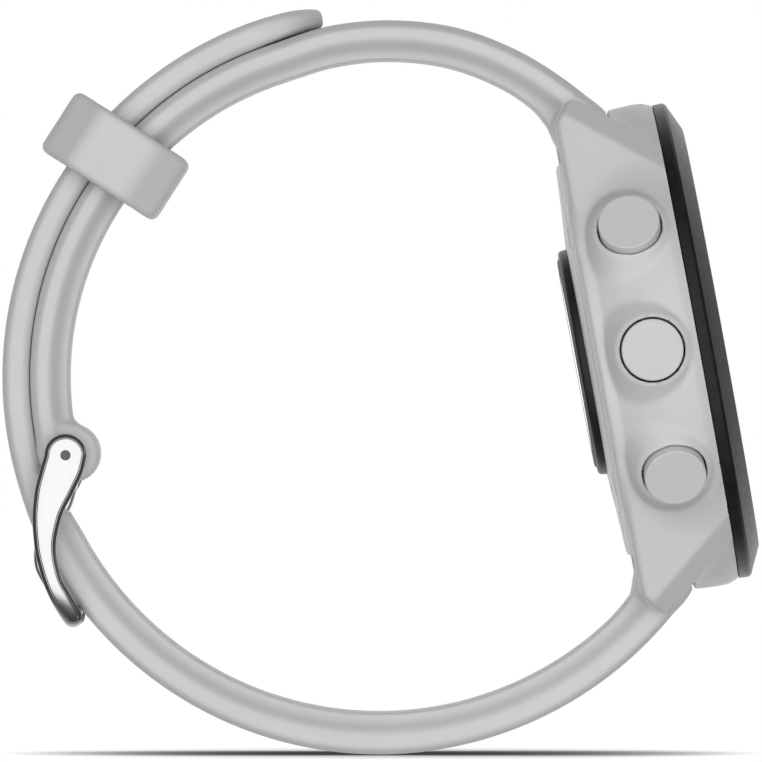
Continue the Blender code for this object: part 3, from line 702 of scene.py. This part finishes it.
def make_back():
    """The back cover, with its screw seats, charging port and the sensor's ring and window."""
    outline = [
        (17.0, -3.75),
        (17.0, -5.2, 0.15),
        (15.5, -5.27, 3.0),
        (13.0, -5.42, 3.0),
        (10.35, -5.6, 0.1),
        (10.35, -4.6),
        (13.0, -4.6),
        (13.0, -3.75),
    ]
    cover = turned_mesh("back_cover_visual", rounded(outline, 0.05, 4), 180)
    piece = new_piece("back_cover_shell", cover, CASE, "watch", "case", "back_cover", sharp=28)
    for index in range(4):
        turn = math.radians(45 + 90 * index)
        place = Matrix.Translation((15.35 * math.cos(turn), 15.35 * math.sin(turn), -5.2))
        seat = turned_mesh("screw_seat", [(0, 0.7), (0, -1.0), (1.0, -1.0), (1.0, 0.7)], 40)
        cut_with(piece, seat, CASE @ place)
    work = bmesh.new()
    add_block(work, (*PORT, -5.5), (6.5, 1.8, 3.0))
    cut_with(piece, mesh_of("port_room", work), CASE)
    make_port()
    ring = [
        (10.0, -4.4),
        (10.0, -5.5),
        (9.9, -6.4, 0.7),
        (8.05, -6.38, 0.05),
        (8.05, -5.9),
        (7.4, -5.9),
        (7.4, -4.4),
    ]
    mesh = turned_mesh("sensor_ring_visual", rounded(ring, 0.05, 5), 160)
    new_piece("sensor_rim", mesh, CASE, "watch", "black_polymer", "sensor_ring", sharp=28)
    # Painted highlight: the lip round the window is the lighter grey, for the light its rounded edge
    # catches
    lip = [(8.0, -6.25), (9.35, -6.25, 0.1), (9.15, -6.57, 0.3), (8.0, -6.57, 0.05)]
    mesh = turned_mesh("sensor_lip", rounded(lip, 0.05, 5), 160)
    new_piece("sensor_lip", mesh, CASE, "watch", "steel", sharp=35, material=LIP_PAINTED_HIGHLIGHT)
    glass = [(0, -6.1), (7.92, -6.1), (7.92, -6.45), (7.85, WINDOW_FACE), (0, WINDOW_FACE)]
    mesh = turned_mesh("sensor_glass", glass, 128)
    new_piece("sensor_glass", mesh, CASE, "watch", "window", "sensor_window", sharp=28)


def make_port():
    """The charging port: a black base and four gold contacts, all below the cover's face."""
    work = bmesh.new()
    add_block(work, (*PORT, -5.0), (6.2, 1.5, 0.6))
    bmesh.ops.bevel(work, geom=work.edges[:], offset=0.08, segments=2, affect="EDGES")
    mesh = mesh_of("port_base", work)
    new_piece("port_base", mesh, CASE, "watch", "black_polymer", "charge_port", sharp=40)
    contact = [(0, -4.9), (0.45, -4.9), (0.45, -5.34), (0.4, -5.4), (0, -5.4)]
    for index in range(4):
        pin = turned_mesh("contact", contact, 24)
        place = CASE @ Matrix.Translation((-2.25 + 1.5 * index, PORT[1], 0))
        new_piece(f"port_contact_{index + 1}", pin, place, "watch", "copper", sharp=40)


def cut_with(piece, mesh, place):
    """Cuts a mesh out of a piece at once."""
    mesh.transform(place)
    tool = add_object("tool", mesh)
    piece.modifiers.new("cut", "BOOLEAN").object = tool
    bpy.context.view_layer.update()
    finished = piece.evaluated_get(bpy.context.evaluated_depsgraph_get())
    made = bpy.data.meshes.new_from_object(finished)
    piece.modifiers.clear()
    piece.data = made
    made.set_sharp_from_angle(angle=math.radians(28))
    bpy.data.objects.remove(tool)


# Display

DIAL_HEIGHT, DIAL_THICK = 4.72, 0.05
# Each digit's bars: top, middle, bottom, and left or right with top or bottom
DIGITS = {
    "1": "rt rb",
    "0": "t b lt lb rt rb",
    "9": "t m b lt rt rb",
    "2": "t m b rt lb",
}
# Each bar is (x, y, whether it lies flat)
BARS = {
    "t": (0, 2.6, True),
    "m": (0, 0, True),
    "b": (0, -2.6, True),
    "lt": (-1.5, 1.3, False),
    "lb": (-1.5, -1.3, False),
    "rt": (1.5, 1.3, False),
    "rb": (1.5, -1.3, False),
}


def make_dial():
    """A plain dial under the lens: sixty ticks, a time in bars and a progress arc."""
    work = bmesh.new()
    for index in range(60):
        long_tick = index % 5 == 0
        length, width = (1.7, 0.42) if long_tick else (0.8, 0.2)
        turn = Matrix.Rotation(math.radians(6 * index), 4, "Z")
        add_block(work, (15.2 - length / 2, 0, DIAL_HEIGHT), (length, width, DIAL_THICK), turn)
    mesh = mesh_of("dial_ticks", work)
    new_piece("dial_ticks", mesh, CASE, "watch", "screen", sharp=28, material=INK)
    work = bmesh.new()
    for place, digit in ((-9.3, "1"), (-4.2, "0"), (4.2, "2"), (9.3, "9")):
        for bar in DIGITS[digit].split():
            x, y, flat = BARS[bar]
            length, width = (2.5, 0.62) if flat else (0.62, 2.1)
            add_block(work, (place + x, y + 1.0, DIAL_HEIGHT), (length, width, DIAL_THICK))
    for y in (-0.2, 2.2):
        add_block(work, (0, y, DIAL_HEIGHT), (0.7, 0.7, DIAL_THICK))
    mesh = mesh_of("dial_digits", work)
    new_piece("dial_digits", mesh, CASE, "watch", "screen", sharp=28, material=INK)
    arc = arc_mesh("dial_arc", (11.9, 12.5), (4.7, 4.745), (200, 320), 48)
    new_piece("dial_arc", arc, CASE, "watch", "screen", sharp=28, material=ACCENT)


def arc_mesh(name, radii, heights, angles, steps):
    """A flat band between two radii, round from one angle to another."""
    near, far = radii
    low, high = heights
    corners = ((near, low), (far, low), (far, high), (near, high))
    rings = []
    for index in range(steps + 1):
        turn = math.radians(angles[0] + (angles[1] - angles[0]) * index / steps)
        rings.append([(r * math.cos(turn), r * math.sin(turn), h) for r, h in corners])
    return loft_mesh(name, rings)


def loft_mesh(name, rings, ladder=False):
    """A closed mesh through rings of points, with a face or a ladder of faces over each end."""
    work = bmesh.new()
    made = [[work.verts.new(point) for point in ring] for ring in rings]
    for low, high in zip(made, made[1:]):
        for index in range(len(low)):
            after = (index + 1) % len(low)
            work.faces.new((low[index], low[after], high[after], high[index]))
    for ring in (made[0], made[-1]):
        if not ladder:
            work.faces.new(ring)
            continue
        for index in range(len(ring) // 2 - 1):
            work.faces.new((ring[index], ring[index + 1], ring[-index - 2], ring[-index - 1]))
    bmesh.ops.recalc_face_normals(work, faces=work.faces)
    return mesh_of(name, work)


# Band. A strap's field works in the band frame; each row is (angle, inner, outer, half width).

UPPER_ROWS = (
    (46.0, 25.3, 30.1, STRAP_HALF),
    (50.0, 25.6, 30.27, STRAP_HALF),
    (56.0, 26.35, 30.46, STRAP_HALF),
    (60.0, 26.95, 30.6, STRAP_HALF),
    (67.0, 27.4, 30.87, STRAP_HALF),
    (79.0, 27.69, 31.14, STRAP_HALF),
    (89.0, 27.6, 31.05, TAIL_HALF),
    (98.0, 27.38, 30.85, TAIL_HALF),
    (108.0, 27.05, 30.42, TAIL_HALF),
    (196.0, 27.05, 30.42, TAIL_HALF),
)
LOWER_ROWS = (
    (95.0, 30.85, 32.45, TAIL_HALF),
    (99.0, 30.8, 32.58, TAIL_HALF),
    (104.0, 30.66, 32.8, TAIL_HALF),
    (112.0, 30.46, 32.82, TAIL_HALF),
    (196.0, 30.42, 32.82, TAIL_HALF),
    (200.0, 30.1, 32.86, TAIL_HALF),
    (204.5, 29.5, 32.92, TAIL_HALF),
    (209.0, 29.35, 32.92, TAIL_HALF),
    (235.0, 29.35, 32.92, TAIL_HALF),
    (280.0, 29.35, 32.92, STRAP_HALF),
    (312.0, 29.35, 32.92, STRAP_HALF),
    (318.0, 29.2, 32.92, STRAP_HALF),
    (322.0, 28.6, 32.92, STRAP_HALF),
    (328.0, 27.9, 32.9, STRAP_HALF),
)
# Each row is (distance inwards of the ridge, how far the strap's side has come in)
COVE = (
    (-3.0, 0.0),
    (-0.1, 0.0),
    (0.15, 0.08),
    (0.43, 0.35),
    (0.72, 0.78),
    (1.0, 1.2),
    (1.3, 1.5),
    (1.75, 1.75),
    (2.4, 1.9),
    (4.0, 2.1),
)
# The holes are ovals; they are measured along the band at this distance from its centre
HOLE_STRAIGHT, HOLE_RADIUS, HOLE_DISTANCE = 1.25, 1.3, 31.5
# Each strap starts at an angle inside the lugs, in a round end bored for its bar
UPPER_START, LOWER_START, END_RADIUS, BAR_BORE = 47.5, 326.0, 2.35, 1.15
# The buckle's eye, and the slot in it for the tongue: half its width, depth and height
EYE, EYE_RADIUS, TONGUE_SLOT = (194.0, 27.8), 2.58, (1.4, 3.4, 3.7)
# The tail's tip, an oval with these half axes that starts this far from the tip
TIP_ANGLE, TIP_DISTANCE, TIP_START, TIP_OVAL = 98.6, 32.0, 8.5, (8.7, 8.0)
# The slot for a release pin's knob: half its width, its depth, and where along the bar it starts
KNOB_HALF, KNOB_DEPTH, KNOB_START = 0.8, 5.0, 5.2


def spot(place):
    """The x and y of an (angle, distance) place."""
    angle, distance = math.radians(place[0]), place[1]
    return distance * math.cos(angle), distance * math.sin(angle)


def to_case(points):
    """Points of the band frame in the case frame."""
    return points @ BAND_TO_CASE[:3, :3].T + BAND_TO_CASE[:3, 3]


def angle_of(points):
    return np.degrees(np.arctan2(points[..., 1], points[..., 0])) % 360.0


def strap_section(points, rows):
    """A strap without ends: flat outer side faces, and a step in to the softer inner half."""
    angle = angle_of(points)
    reach = np.hypot(points[..., 0], points[..., 1])
    aside = np.abs(points[..., 2])
    inner, outer, half = hermite(rows, angle)
    thin = np.clip((3.0 - (outer - inner)) / 0.6, 0.0, 1.0)
    cove = hermite(COVE, outer - 1.5 - reach)[0] * (1.0 - thin)
    side = aside - half
    field = smax((side + cove) * 0.5, 0.7 * side + 0.71 * (reach - outer + 0.68), 0.08)
    field = smax(field, 0.7 * side + 0.71 * (inner - reach + 0.75) - 4.0 * (1.0 - thin), 0.1)
    field = smax(field, reach - outer, 0.75)
    return smax(field, inner - reach, 0.2 + 0.6 * thin)


def case_clearance(points, gap):
    """Positive inside the case and close to it, for points of the band frame."""
    return gap - case_outside(to_case(points))


def knuckle(points, place, radius, half, edge=0.6):
    """A round bar across the band at an (angle, distance) place."""
    x, y = spot(place)
    around = np.hypot(points[..., 0] - x, points[..., 1] - y) - radius
    return smax(around, np.abs(points[..., 2]) - half, edge)


def strap_holes(points, field):
    """The field with the row of oval holes cut out."""
    angle = angle_of(points)
    for middle in HOLE_ANGLES:
        along = np.radians((angle - middle + 180.0) % 360.0 - 180.0) * HOLE_DISTANCE
        oval = np.hypot(np.maximum(np.abs(along) - HOLE_STRAIGHT, 0.0), points[..., 2]) - HOLE_RADIUS
        field = cut(field, oval, 0.3)
    return field


def knob_slot(points, side):
    """The slot for the release pin's knob, in the strap's end."""
    place = to_case(points)
    x, y, z = place[..., 0], side * place[..., 1], place[..., 2]
    half = KNOB_DEPTH / 2
    slot = smax(np.abs(y - BAR_ALONG) - KNOB_HALF, np.abs(z - BAR_HEIGHT + half) - half, 0.2)
    return smax(slot, KNOB_START - x, 0.2)


def fit_end(points, field, bar, side):
    """Bores a strap's end for its bar, cuts the knob's slot, and keeps the end clear of the case."""
    field = cut(field, knuckle(points, bar, BAR_BORE, 12.0), 0.15)
    field = cut(field, knob_slot(points, side), 0.2)
    return smax(field, case_clearance(points, 0.1), 0.25)


def upper_strap_field(points):
    """The strap with the buckle: a round eye with a slot for the tongue at one end."""
    field = smax(strap_section(points, UPPER_ROWS), (angle_of(points) - EYE[0]) * 0.5, 0.4)
    field = smax(field, UPPER_START - angle_of(points), 0.4)
    field = smin(field, knuckle(points, EYE, EYE_RADIUS, TAIL_HALF - 0.25, 0.8), 0.9)
    field = smin(field, knuckle(points, UPPER_BAR, END_RADIUS, STRAP_HALF), 0.8)
    pin_x, pin_y = spot(PIN_PLACE)
    x, y = points[..., 0] - pin_x, points[..., 1] - pin_y
    wide, deep, high = TONGUE_SLOT
    slot = smax(np.abs(points[..., 2]) - wide, np.abs(x) - deep, 0.3)
    slot = smax(slot, np.abs(y + 0.6) - high, 0.3)
    field = cut(field, slot, 0.25)
    field = cut(field, np.hypot(x, y) - 1.0, 0.15)
    return fit_end(points, field, UPPER_BAR, 1)


def lower_strap_field(points):
    """The strap with the holes, whose tail ends in half an oval seen from outside."""
    angle = angle_of(points)
    tip = (angle - TIP_ANGLE) * math.radians(TIP_DISTANCE)
    beside = np.maximum(np.abs(points[..., 2]) - 1.5, 0.0)
    end = np.hypot(np.maximum(TIP_START - tip, 0.0) / TIP_OVAL[0], beside / TIP_OVAL[1])
    field = strap_section(points, LOWER_ROWS)
    field = smax(field, (end - 1.0) * 4.0, 0.8)
    field = smax(field, -tip, 0.7)
    field = smax(field, angle - LOWER_START, 0.4)
    field = smin(field, knuckle(points, LOWER_BAR, END_RADIUS, STRAP_HALF), 0.8)
    field = strap_holes(points, field)
    return fit_end(points, field, LOWER_BAR, -1)


def bend_round(grid):
    """From (angle, distance, height) to points of the band frame."""
    turn = np.radians(grid[..., 0])
    return np.stack([grid[..., 1] * np.cos(turn), grid[..., 1] * np.sin(turn), grid[..., 2]], -1)


def make_straps():
    step = 0.24 * FINE
    turn_step = math.degrees(step * 1.6 / 30.0)
    widths = grid_axis(-10.4, 10.4, step)
    axes = [grid_axis(44.0, 202.0, turn_step), grid_axis(24.4, 32.0, step), widths]
    mesh = field_mesh("upper_strap_visual", upper_strap_field, axes, bend_round)
    new_piece("buckle_side_strap", mesh, BAND, "watch", "strap", "upper_strap")
    axes = [grid_axis(97.0, 330.5, turn_step), grid_axis(27.4, 33.4, step), widths]
    mesh = field_mesh("lower_strap_visual", lower_strap_field, axes, bend_round)
    new_piece("hole_side_strap", mesh, BAND, "watch", "strap", "lower_strap")


# Keeper: x is through the band, y along it and z across it

KEEPER_PLACE, KEEPER_COCK = (140.1, 30.0), 7.2
KEEPER_OUTER, KEEPER_INNER, KEEPER_HALF = (5.86, 11.7), (3.7, 10.0), 3.05


def rounded_box(x, z, half_x, half_z, corner):
    across, up = np.abs(x) - half_x + corner, np.abs(z) - half_z + corner
    outside = np.hypot(np.maximum(across, 0.0), np.maximum(up, 0.0))
    return outside + np.minimum(np.maximum(across, up), 0.0) - corner


def keeper_field(points):
    """A rounded loop round the band, bevelled along its outer edges."""
    x, y, z = points[..., 0], points[..., 1], points[..., 2]
    aside = np.abs(z)
    outer = rounded_box(x, z, *KEEPER_OUTER, 1.1)
    outer = smax(outer, 0.74 * (x - 2.9) + 0.672 * (aside - KEEPER_OUTER[1]), 0.7)
    outer = smax(outer, 0.7 * (-x - 2.6) + 0.714 * (aside - KEEPER_OUTER[1]), 0.8)
    inner = rounded_box(x, z, *KEEPER_INNER, 1.2)
    ends = np.abs(y) - KEEPER_HALF
    return cut(smax(outer, ends, 0.85), inner, 0.4)


def make_keeper():
    step = 0.2 * FINE
    turn = math.radians(KEEPER_PLACE[0])
    middle = Vector((math.cos(turn), math.sin(turn), 0.0)) * KEEPER_PLACE[1]
    place = BAND @ Matrix.Translation(middle) @ Matrix.Rotation(turn + math.radians(KEEPER_COCK), 4, "Z")
    axes = [grid_axis(-6.2, 6.2, step), grid_axis(-3.4, 3.4, step), grid_axis(-12.2, 12.2, step)]
    mesh = field_mesh("keeper_visual", keeper_field, axes)
    new_piece("keeper_loop", mesh, place, "keeper", "strap", "keeper")


# Buckle, in its own frame about the bar

# Each row is (height, left edge, right edge) of a side plate
PLATE_ROWS = (
    (-14.65, -0.06, 1.4),
    (-14.17, -0.4, 1.45),
    (-13.7, -0.68, 1.36),
    (-13.2, -0.98, 1.08),
    (-12.5, -1.36, 0.66),
    (-10.4, -2.16, -0.42),
    (-8.0, -2.71, -0.83),
    (-5.5, -2.89, -0.38),
    (-3.3, -2.71, 0.66),
    (-1.3, -2.24, 1.56),
    (0.0, -1.85, 1.85),
)
PLATE_FOOT = (0.62, -14.17, 0.83)
PLATE_SIDES, PLATE_HEAD = (10.25, 11.85), 1.85
# A plate bends inwards below a height, over a length, by a distance
PLATE_BEND = (-10.9, 4.1, 2.1)
CROSSBAR, CROSSBAR_HALF = (0.55, -13.75), 10.2


def arc_points(middle, radius, angles, count):
    turns = np.radians(np.linspace(*angles, count))
    return np.stack([middle[0] + radius * np.cos(turns), middle[1] + radius * np.sin(turns)], -1)


def plate_loop():
    """The outline of a side plate, anticlockwise from the middle of its foot."""
    x, y, radius = PLATE_FOOT
    heights = np.linspace(y + 0.15, -0.15, 48)
    right = np.stack([hermite(PLATE_ROWS, heights)[1], heights], -1)
    heights = np.linspace(-0.15, -14.6, 48)
    left = np.stack([hermite(PLATE_ROWS, heights)[0], heights], -1)
    return np.concatenate([
        arc_points((x, y), radius, (290, 358), 10),
        right,
        arc_points((0, 0), PLATE_HEAD, (0, 180), 26),
        left,
        arc_points((x, y), radius, (218, 286), 10),
    ])


def inset(loop, distance):
    """A closed loop moved inwards along its corners' normals."""
    ahead, behind = np.roll(loop, -1, 0), np.roll(loop, 1, 0)
    way = (ahead - behind) / np.linalg.norm(ahead - behind, axis=1)[:, None]
    return loop + np.stack([-way[:, 1], way[:, 0]], -1) * distance


def side_curve(loop):
    """The plate's turn towards the crossbar: how far each point of a loop bends inwards."""
    start, length, most = PLATE_BEND
    return np.clip((start - loop[:, 1]) / length, 0.0, 1.0) ** 1.8 * most


def plate_mesh(name, side):
    """A side plate: flat outside, with a narrow bevel and a fine rim round it."""
    near, far = PLATE_SIDES
    loop = plate_loop()
    profile = (
        (0.12, near),
        (0.0, near + 0.12),
        (0.0, far - 0.42),
        (0.03, far - 0.36),
        (0.3, far - 0.12),
        (0.33, far - 0.1),
        (0.36, far - 0.1),
        (0.44, far - 0.02),
        (0.5, far),
    )
    rings = []
    for distance, height in profile:
        ring = inset(loop, distance)
        bends = side_curve(ring)
        rings.append([(x, y, side * (height - bend)) for (x, y), bend in zip(ring, bends)])
    return loft_mesh(name, rings, ladder=True)


def make_buckle():
    """The buckle's frame, which is two plates and a crossbar, and the bar that it turns on."""
    for name, side in (("near", -1), ("far", 1)):
        replaced = ("buckle_frame",) if side < 0 else ()
        mesh = plate_mesh(f"{name}_plate", side)
        new_piece(f"buckle_{name}_plate", mesh, BUCKLE, "buckle_frame", "buckle", *replaced, sharp=20)
    end = PLATE_SIDES[1]
    half_bar = [(0, end + 0.02), (0.42, end + 0.02), (0.48, end - 0.02), (0.48, 10.1), (0.74, 10.1)]
    outline = half_bar + [(radius, -height) for radius, height in reversed(half_bar)]
    bar = turned_mesh("spring_bar", outline, 48)
    # Painted shade: the bar's dark steel ends stand in for the shade of a recess in each plate
    new_piece("buckle_pin", bar, BUCKLE, "watch", "steel", "buckle_bar", sharp=30, material=PAINTED_SHADE_STEEL)
    half_bar = [(0, CROSSBAR_HALF), (0.6, CROSSBAR_HALF), (0.72, CROSSBAR_HALF - 0.2)]
    outline = [(radius, -height) for radius, height in half_bar] + half_bar[::-1]
    bar = turned_mesh("crossbar", outline, 48)
    place = BUCKLE @ Matrix.Translation((*CROSSBAR, 0))
    new_piece("buckle_crossbar", bar, place, "buckle_frame", "buckle", sharp=30)


# Each row of the tongue's path is (angle, distance from the band's centre, half width), eye to tip
TONGUE_PATH = (
    (194.6, 28.2, 1.0),
    (198.5, 28.35, 1.0),
    (202.0, 29.4, 0.98),
    (205.0, 31.7, 0.96),
    (207.2, 33.4, 0.95),
    (210.0, 34.02, 0.94),
    (214.0, 34.1, 0.9),
    (217.2, 34.25, 0.7),
)
TONGUE_HALF_DEPTH, TONGUE_CORNERS = 0.52, 16


def make_tongue():
    """The tongue: an arm with a squarish section along its path, and an eye round the bar."""
    angles = np.linspace(TONGUE_PATH[0][0], TONGUE_PATH[-1][0], 60)
    reach, half = hermite(TONGUE_PATH, angles)
    to_pin = np.array((BAND.inverted() @ BUCKLE).translation)
    turn = np.radians(angles)
    path = np.stack([reach * np.cos(turn), reach * np.sin(turn), reach * 0], -1) - to_pin
    ways = np.gradient(path, axis=0)
    ways /= np.linalg.norm(ways, axis=1)[:, None]
    rings = []
    for point, way, wide in zip(path, ways, half):
        normal = np.array([-way[1], way[0], 0.0])
        ring = []
        for corner in range(TONGUE_CORNERS):
            around = 2 * math.pi * (corner + 0.5) / TONGUE_CORNERS
            c, s = math.cos(around), math.sin(around)
            deep = math.copysign(abs(s) ** 0.8, s) * TONGUE_HALF_DEPTH
            out = math.copysign(abs(c) ** 0.6, c) * wide
            ring.append(tuple(point + normal * deep + np.array([0.0, 0.0, out])))
        rings.append(ring)
    arm = loft_mesh("tongue_arm", rings)
    new_piece("tongue_arm", arm, BUCKLE, "buckle_tongue", "buckle", "buckle_tongue", sharp=50)
    eye = [(0.86, -0.95, 0.05), (0.86, 0.95, 0.05), (1.45, 0.95, 0.15), (1.45, -0.95, 0.15)]
    mesh = turned_mesh("tongue_eye", rounded(eye, 0.1), 64)
    new_piece("tongue_eye", mesh, BUCKLE, "buckle_tongue", "buckle", sharp=35)


# Stage

# The floor lies just under the watch; its painted shadow ends at this distance from the middle
FLOOR_RADIUS, FLOOR_DROP, SHADOW_END = 1.6, 0.02 * MM, 33.5 * MM


def camera_sees(tree, seen, unseen, output_kind):
    """Shows one shader to the camera, and another to every other ray."""
    link = tree.links.new
    path = tree.nodes.new("ShaderNodeLightPath")
    mix = tree.nodes.new("ShaderNodeMixShader")
    output = tree.nodes.new(output_kind)
    link(path.outputs["Is Camera Ray"], mix.inputs["Fac"])
    link(unseen, mix.inputs[1])
    link(seen, mix.inputs[2])
    link(mix.outputs["Shader"], output.inputs["Surface"])


def make_floor():
    """A white floor that glows to the camera, with a painted contact shadow: darker where the watch
    nearly touches it and lighter again away from the middle.
    """
    work = bmesh.new()
    bmesh.ops.create_circle(work, cap_ends=True, segments=96, radius=FLOOR_RADIUS)
    mesh = mesh_of("floor", work)
    floor = add_object("floor", mesh)
    floor.location.z = -FLOOR_DROP
    floor.visible_diffuse = floor.visible_glossy = False
    floor.visible_transmission = floor.visible_shadow = False
    material = bpy.data.materials.new("floor_white_painted_shadow")
    material.use_nodes = True
    tree = material.node_tree
    tree.nodes.clear()
    link = tree.links.new
    # Painted shadow: ambient occlusion darkens the floor's glow where the watch comes close; the floor
    # takes no real shadow
    occlusion = tree.nodes.new("ShaderNodeAmbientOcclusion")
    occlusion.samples = 24
    occlusion.inputs["Distance"].default_value = 0.05
    painted_shadow_tone = add_node(tree, "ShaderNodeMapRange", From_Min=0.58, From_Max=0.98, To_Min=0.05, To_Max=1.0)
    glow = add_node(tree, "ShaderNodeEmission")
    matt = add_node(tree, "ShaderNodeBsdfDiffuse", Color=(0.8, 0.8, 0.8, 1.0))
    place = tree.nodes.new("ShaderNodeTexCoord")
    length = tree.nodes.new("ShaderNodeVectorMath")
    length.operation = "LENGTH"
    fade = tree.nodes.new("ShaderNodeMath")
    fade.operation = "POWER"
    fade.inputs[1].default_value = 3.3
    away = add_node(tree, "ShaderNodeMapRange", From_Min=0.0, From_Max=SHADOW_END)
    lighten = tree.nodes.new("ShaderNodeMix")
    lighten.inputs["B"].default_value = 1.0
    link(place.outputs["Object"], length.inputs[0])
    link(length.outputs["Value"], away.inputs["Value"])
    link(away.outputs["Result"], fade.inputs[0])
    link(occlusion.outputs["AO"], painted_shadow_tone.inputs["Value"])
    link(fade.outputs["Value"], lighten.inputs["Factor"])
    link(painted_shadow_tone.outputs["Result"], lighten.inputs["A"])
    link(lighten.outputs["Result"], glow.inputs["Color"])
    camera_sees(tree, glow.outputs["Emission"], matt.outputs["BSDF"], "ShaderNodeOutputMaterial")
    mesh.materials.append(material)


# Each row is (direction, brightness) of the studio, from behind the watch (0) to the camera's side (1)
STUDIO_RAMP = (
    (0.0, 1.25),
    (0.15, 1.1),
    (0.26, 0.6),
    (0.37, 0.15),
    (0.6, 0.09),
    (0.74, 0.24),
    (0.84, 0.92),
    (0.92, 1.62),
    (1.0, 1.8),
)


def make_world():
    """A white backdrop, lit by a soft studio that is brightest from the front."""
    world = bpy.data.worlds.new("studio")
    bpy.context.scene.world = world
    world.use_nodes = True
    tree = world.node_tree
    tree.nodes.clear()
    link = tree.links.new
    coordinates = tree.nodes.new("ShaderNodeTexCoord")
    parts = tree.nodes.new("ShaderNodeSeparateXYZ")
    share = add_node(tree, "ShaderNodeMapRange", From_Min=1.0, From_Max=-1.0)
    curve = tree.nodes.new("ShaderNodeFloatCurve")
    line = curve.mapping.curves[0]
    most = max(level for _, level in STUDIO_RAMP)
    line.points[0].location = (0.0, STUDIO_RAMP[0][1] / most)
    line.points[1].location = (1.0, STUDIO_RAMP[-1][1] / most)
    for place, level in STUDIO_RAMP[1:-1]:
        line.points.new(place, level / most)
    curve.mapping.update()
    studio = add_node(tree, "ShaderNodeBackground", Strength=most)
    backdrop = add_node(tree, "ShaderNodeBackground", Color=(1.0, 1.0, 1.0, 1.0), Strength=1.0)
    link(coordinates.outputs["Generated"], parts.inputs["Vector"])
    link(parts.outputs["Y"], share.inputs["Value"])
    link(share.outputs["Result"], curve.inputs["Value"])
    link(curve.outputs["Value"], studio.inputs["Color"])
    seen, unseen = backdrop.outputs["Background"], studio.outputs["Background"]
    camera_sees(tree, seen, unseen, "ShaderNodeOutputWorld")


# The camera looks level along +Y; the view is this wide at the watch's middle plane
VIEW_WIDTH, VIEW_HEIGHT_MIDDLE, LENS, SENSOR = 66.63 * MM, 32.54 * MM, 1100.0, 36.0


def make_camera():
    data = bpy.data.cameras.new("camera")
    data.lens, data.sensor_width = LENS, SENSOR
    data.clip_start, data.clip_end = 0.01, 20.0
    camera = add_object("camera", data)
    distance = VIEW_WIDTH * LENS / SENSOR
    camera.location = (0.0, -distance, VIEW_HEIGHT_MIDDLE)
    camera.rotation_euler = (math.pi / 2, 0.0, 0.0)
    bpy.context.scene.camera = camera
    bpy.context.scene.view_settings.view_transform = "Standard"


finish_nodes()
make_case()
make_front()
make_caps()
make_back()
make_dial()
make_straps()
make_keeper()
make_buckle()
make_tongue()
make_floor()
make_world()
make_camera()
